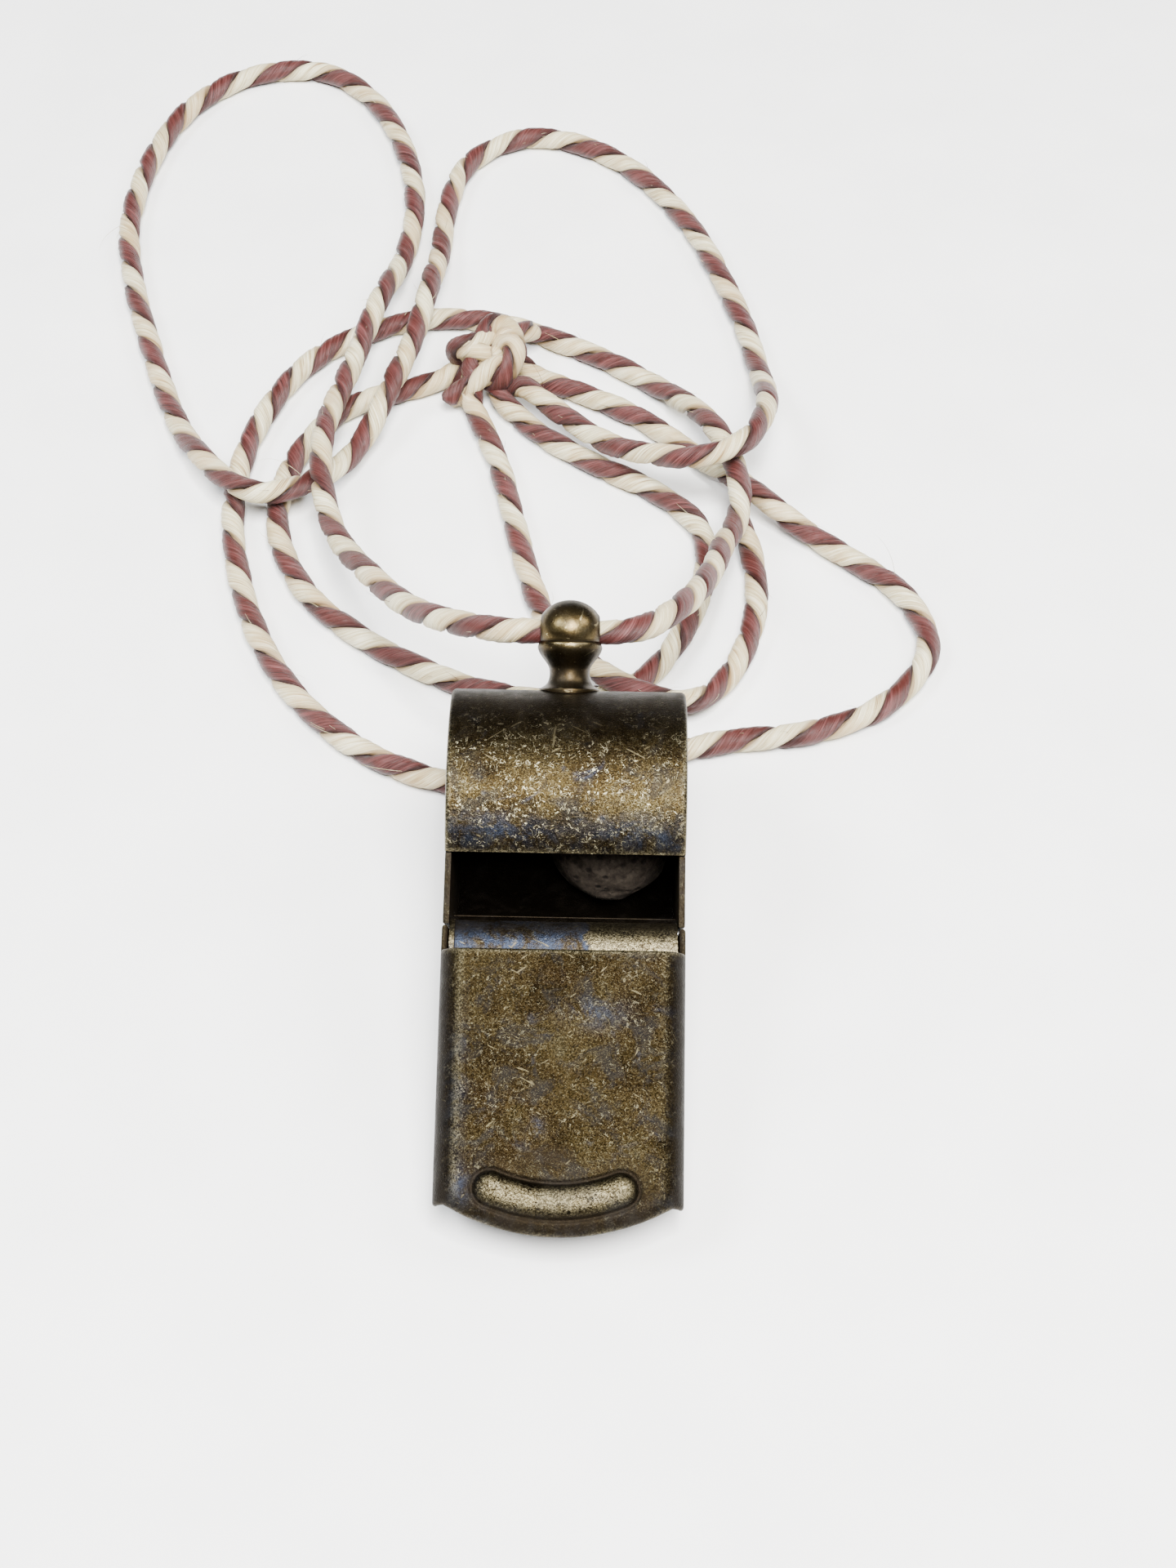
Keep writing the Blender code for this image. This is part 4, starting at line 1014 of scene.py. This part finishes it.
def windway():
    inset = HALF - SHEET - 0.16
    line = floor_line()
    above = offset_line(line, SHEET / 2)
    below = offset_line(line, -SHEET / 2)
    outline = above + below[::-1]
    xs = [-inset, -inset + 0.04, -inset + 0.22, -inset + 0.40, -inset + 0.46]
    xs += [-inset + 0.7 + (2 * inset - 0.7) * k / 64 for k in range(65)]
    rings, wear_and_highlight, soot_and_shade, blue = [], [], [], []
    for x in xs:
        ring = []
        for i, (u, w) in enumerate(outline):
            knock = 0.0
            if i < len(line) and 21.5 < u < 25.5:
                knock = 0.35 * dent(x, u, 5.0, 2.0, 2.2, 0.08)
            tab = i < len(line) and x < -inset + 0.44 and u > 22.5 and w > -3.6
            if tab:
                knock += 0.34
            ring.append(on_plate(x, u, w + knock))
            blued = x < 1.9 + 0.35 * math.sin(u * 3.1) and not tab
            wear_and_highlight.append(0.5 if tab else 0.62 if (not blued and u > 22.0) else 0.04)
            # painted shade: darkened where it runs under the cover and down into the chamber, and over the nose's far
            # side; the blued part gets a darker film as well
            soot_and_shade.append(min(0.97, (0.50 if blued else 0.18) + (0.6 if u < 22 or w < -3.2 else 0.75 * max(0.0, u - 23.9))) if not tab else 0.25)
            blue.append(1.5 if blued and u > 21 else 0.15)
        rings.append(ring)
    points, faces = sweep(rings)
    faces = faces[:-2]
    n = len(line)
    m = len(outline)
    last = (len(xs) - 1) * m
    for i in range(n - 1):
        a, b, c, d = i, i + 1, m - 2 - i, m - 1 - i
        faces.append((d, c, b, a))
        faces.append((last + a, last + b, last + c, last + d))
    obj = make("windway_sheet", points, faces, [WINDWAY], {"wear_and_highlight": wear_and_highlight, "soot_and_shade": soot_and_shade, "blue": blue}, sharp=40)
    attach(obj, "whistle")
    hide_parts("windway_floor")


def post_line():
    c = BALL_RHO - BARREL_R
    line = [
        (-0.45, 2.45), (0.02, 2.54), (0.10, 2.53), (0.17, 2.44), (0.24, 2.32), (0.34, 2.16), (0.46, 2.01), (0.62, 1.87), (0.82, 1.77), (1.05, 1.71), (1.3, 1.68),
        (1.6, 1.685), (1.8, 1.71), (1.98, 1.77), (2.15, 1.87), (2.32, 1.99), (2.50, 2.12), (2.68, 2.26), (2.86, 2.39), (3.04, 2.51), (3.22, 2.61), (3.42, 2.69), (3.62, 2.73), (3.80, 2.73),
        (3.92, 2.71), (4.02, 2.66), (4.07, 2.60), (4.11, 2.575), (4.17, 2.59),
    ]
    first = math.asin((4.24 - c) / BALL_R)
    for i in range(44):
        a = first + (math.pi / 2 - first) * i / 43
        line.append((c + BALL_R * math.sin(a), BALL_WIDE * math.cos(a)))
    return line


def cutter(name, rings):
    points, faces = sweep(rings)
    mesh = bpy.data.meshes.new(name)
    mesh.from_pydata([(p[0] * MM, p[1] * MM, p[2] * MM) for p in points], [], faces)
    bm = bmesh.new()
    bm.from_mesh(mesh)
    bmesh.ops.recalc_face_normals(bm, faces=bm.faces)
    bm.to_mesh(mesh)
    bm.free()
    obj = bpy.data.objects.new(name, mesh)
    bpy.context.scene.collection.objects.link(obj)
    return obj


def post():
    a = math.radians(POST_ANGLE)
    out = Vector((0, math.cos(a), math.sin(a)))
    side = Vector((1, 0, 0))
    third = out.cross(side)
    centre = Vector((0, AXIS_Y, AXIS_Z))
    rings = []
    for h, r in post_line():
        r = max(r, 0.015)
        rings.append([
            tuple(centre + out * (BARREL_R + h) + (side * math.cos(t) + third * math.sin(t)) * r)
            for t in (2 * math.pi * k / 96 for k in range(96))
        ])
    obj = make("ball_post", *sweep(rings), [POST])
    ball = centre + out * BALL_RHO
    hole = []
    for x, r in ((-4.0, 2.6), (-2.75, 1.5), (-2.46, 1.20), (-2.25, 1.12), (2.25, 1.12), (2.46, 1.20), (2.75, 1.5), (4.0, 2.6)):
        hole.append([(x, ball.y + r * math.cos(t), ball.z + r * math.sin(t)) for t in (2 * math.pi * k / 72 for k in range(72))])
    saddle = []
    for x in (-15, 15):
        saddle.append([(x, AXIS_Y + (BARREL_R + 0.05) * math.cos(t), AXIS_Z + (BARREL_R + 0.05) * math.sin(t)) for t in (2 * math.pi * k / 256 for k in range(256))])
    tools = [cutter("t1", hole), cutter("t2", saddle)]
    for tool in tools:
        mod = obj.modifiers.new("b", "BOOLEAN")
        mod.operation = "DIFFERENCE"
        mod.solver = "EXACT"
        mod.object = tool
    deps = bpy.context.evaluated_depsgraph_get()
    mesh = bpy.data.meshes.new_from_object(obj.evaluated_get(deps))
    obj.modifiers.clear()
    obj.data = mesh
    for tool in tools:
        bpy.data.objects.remove(tool, do_unlink=True)
    bm = bmesh.new()
    bm.from_mesh(mesh)
    for f in bm.faces:
        f.smooth = True
    for e in bm.edges:
        e.smooth = not (len(e.link_faces) == 2 and e.calc_face_angle(0.0) > math.radians(30))
    bm.to_mesh(mesh)
    bm.free()
    wear_and_highlight, soot_and_shade, blue = [], [], []
    for v in mesh.vertices:
        p = v.co / MM
        h = (p - centre).dot(out) - BARREL_R
        r = ((p - centre) - out * (h + BARREL_R)).length
        wear_and_highlight.append(0.5 * falloff(abs(h - 3.8), 0.3) + 0.25 * falloff(abs(h - 0.3), 0.3))
        near = abs((p - ball).length - BALL_R)
        hole_d = math.hypot(p.y - ball.y, p.z - ball.z)
        # painted shade: the bowl and neck below the ball's equator, the ball's top cap and the cross hole are darkened;
        # patina darkens the groove line, and the foot is darker as well
        s = 0.8 * falloff(abs(h - 4.1), 0.25) + 0.5 * falloff(max(0.0, 0.9 - h), 0.9) + (0.80 if h < 3.45 else 0.80 * falloff(h - 3.45, 0.35)) + 0.9 * falloff(max(0.0, 7.61 - h), 1.3)
        if hole_d < 1.9:
            s += 0.6 * falloff(max(0.0, hole_d - 1.3), 0.7)
        soot_and_shade.append(min(1.0, s))
        blue.append(0.0)
    for layer, values in (("wear_and_highlight", wear_and_highlight), ("soot_and_shade", soot_and_shade), ("blue", blue)):
        if layer in mesh.attributes:
            mesh.attributes.remove(mesh.attributes[layer])
        at = mesh.attributes.new(layer, "FLOAT", "POINT")
        at.data.foreach_set("value", np.array(values, dtype=np.float32))
    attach(obj, "whistle")
    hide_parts("loop_post")


# ---------------------------------------------------------------- cork pea
def cork_material():
    m = Nodes("cork")
    at = m.mm()
    grain = m.noise(at, 1.6, 6.0, 0.65, 0.4)
    fine = m.noise(at, 6.0, 4.0, 0.6)
    pits = m.put("ShaderNodeTexVoronoi")
    m.link(at, pits.inputs["Vector"])
    pits.inputs["Scale"].default_value = 0.85
    hole = m.step(pits.outputs["Distance"], 0.30, 0.12)
    col = m.ramp(grain, (0.32, (0.017, 0.012, 0.009)), (0.48, (0.034, 0.026, 0.019)), (0.62, (0.054, 0.043, 0.032)))
    col = m.mix(m.math("MULTIPLY", hole, 0.65), col, (0.006, 0.004, 0.003))
    m.link(col, m.bsdf.inputs["Base Color"])
    m.bsdf.inputs["Roughness"].default_value = 0.82
    m.bsdf.inputs["Specular IOR Level"].default_value = 0.25
    h = m.math("SUBTRACT", m.math("ADD", m.math("MULTIPLY", grain, 0.7), m.math("MULTIPLY", fine, 0.4)), m.math("MULTIPLY", hole, 0.9))
    m.link(m.bump(h, 0.00020, 0.9), m.bsdf.inputs["Normal"])
    return m.mat


def pea():
    bm = bmesh.new()
    bmesh.ops.create_icosphere(bm, subdivisions=6, radius=1.0)
    pits = []
    rng = np.random.default_rng(7)
    for _ in range(46):
        v = rng.normal(size=3)
        pits.append((Vector(v / np.linalg.norm(v)), 0.06 + 0.10 * rng.random(), 0.10 + 0.16 * rng.random()))
    for v in bm.verts:
        n = v.co.normalized()
        d = 0.018 * math.sin(5 * n.x + 2 * n.y) * math.sin(4 * n.y - 3 * n.z) + 0.012 * math.sin(9 * n.z + 7 * n.x)
        r = PEA_R * (0.985 + min(d, 0.015))
        r += 0.05 * noise.fractal(n * 3.4, 0.6, 2.1, 5) - 0.03
        for c, size, depth in pits:
            q = (n - c).length / size
            if q < 1.0:
                r -= depth * (1 - q * q) ** 2
        v.co = n * r * MM + Vector((PEA_X * MM, AXIS_Y * MM, (AXIS_Z - PEA_ORBIT) * MM))
    for f in bm.faces:
        f.smooth = True
    mesh = bpy.data.meshes.new("cork_ball")
    bm.to_mesh(mesh)
    bm.free()
    mesh.materials.append(cork_material())
    obj = bpy.data.objects.new("cork_ball", mesh)
    bpy.context.scene.collection.objects.link(obj)
    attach(obj, "pea")
    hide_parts("cork_pea")


BARREL = aged_brass("brass_barrel", 1.0, tone=0.125, dark=0.50, blue=0.50, fleck=0.50, rough=0.34)
COVER = aged_brass("brass_cover", 2.0, tone=0.066, dark=0.50, blue=0.30, fleck=0.085, rough=0.46)
CHEEK = aged_brass("brass_cheek", 3.0, tone=0.075, dark=0.55, blue=0.40, fleck=0.25, rough=0.44)
WINDWAY = aged_brass("brass_windway", 4.0, tone=0.15, dark=0.35, blue=0.2, fleck=0.14, rough=0.38)
POST = aged_brass("brass_post", 5.0, tone=0.50, dark=0.45, blue=0.08, fleck=0.10, rough=0.22, glitter=0.30)

barrel_sheet()
cheek("cheek_plate_left", "cheek_left", -1)
cheek("cheek_plate_right", "cheek_right", 1)
cover()
base()
windway()
post()
pea()


# ---------------------------------------------------------------- floor and light
def floor():
    mesh = bpy.data.meshes.new("floor")
    s = 3.0
    mesh.from_pydata([(-s, -s, -0.00005), (s, -s, -0.00005), (s, s, -0.00005), (-s, s, -0.00005)], [], [(0, 1, 2, 3)])
    obj = bpy.data.objects.new("floor", mesh)
    bpy.context.scene.collection.objects.link(obj)
    m = Nodes("pale_floor")
    n = m.noise(m.mm(), 0.08, 3.0, 0.5)
    m.link(m.ramp(n, (0.35, (0.80, 0.795, 0.785)), (0.65, (0.84, 0.835, 0.825))), m.bsdf.inputs["Base Color"])
    m.bsdf.inputs["Roughness"].default_value = 0.9
    m.bsdf.inputs["Specular IOR Level"].default_value = 0.1
    mesh.materials.append(m.mat)


def lamp(name, at, aim, size, power, colour=(1, 1, 1)):
    data = bpy.data.lights.new(name, "AREA")
    data.shape = "DISK"
    data.size = size
    data.energy = power
    data.color = colour
    obj = bpy.data.objects.new(name, data)
    obj.location = at
    d = Vector(aim) - Vector(at)
    obj.rotation_mode = "QUATERNION"
    obj.rotation_quaternion = d.to_track_quat("-Z", "Y")
    bpy.context.scene.collection.objects.link(obj)


floor()
lamp("key", (0.05, -0.21, 0.54), (0, 0.02, 0.0), 0.30, 16.0, (1.0, 0.99, 0.97))
lamp("spark", (0.05, -0.08, 0.57), (0, 0.02, 0.0), 0.04, 1.6)
lamp("window", (-0.34, -0.02, 0.46), (0, 0.02, 0.0), 0.22, 4.0, (0.90, 0.95, 1.0))
lamp("fill", (0.36, 0.06, 0.42), (0, 0.04, 0.0), 0.26, 2.6)
world = bpy.data.worlds.new("studio")
world.use_nodes = True
world.node_tree.nodes["Background"].inputs["Color"].default_value = (0.90, 0.92, 0.95, 1)
world.node_tree.nodes["Background"].inputs["Strength"].default_value = 0.20
bpy.context.scene.world = world
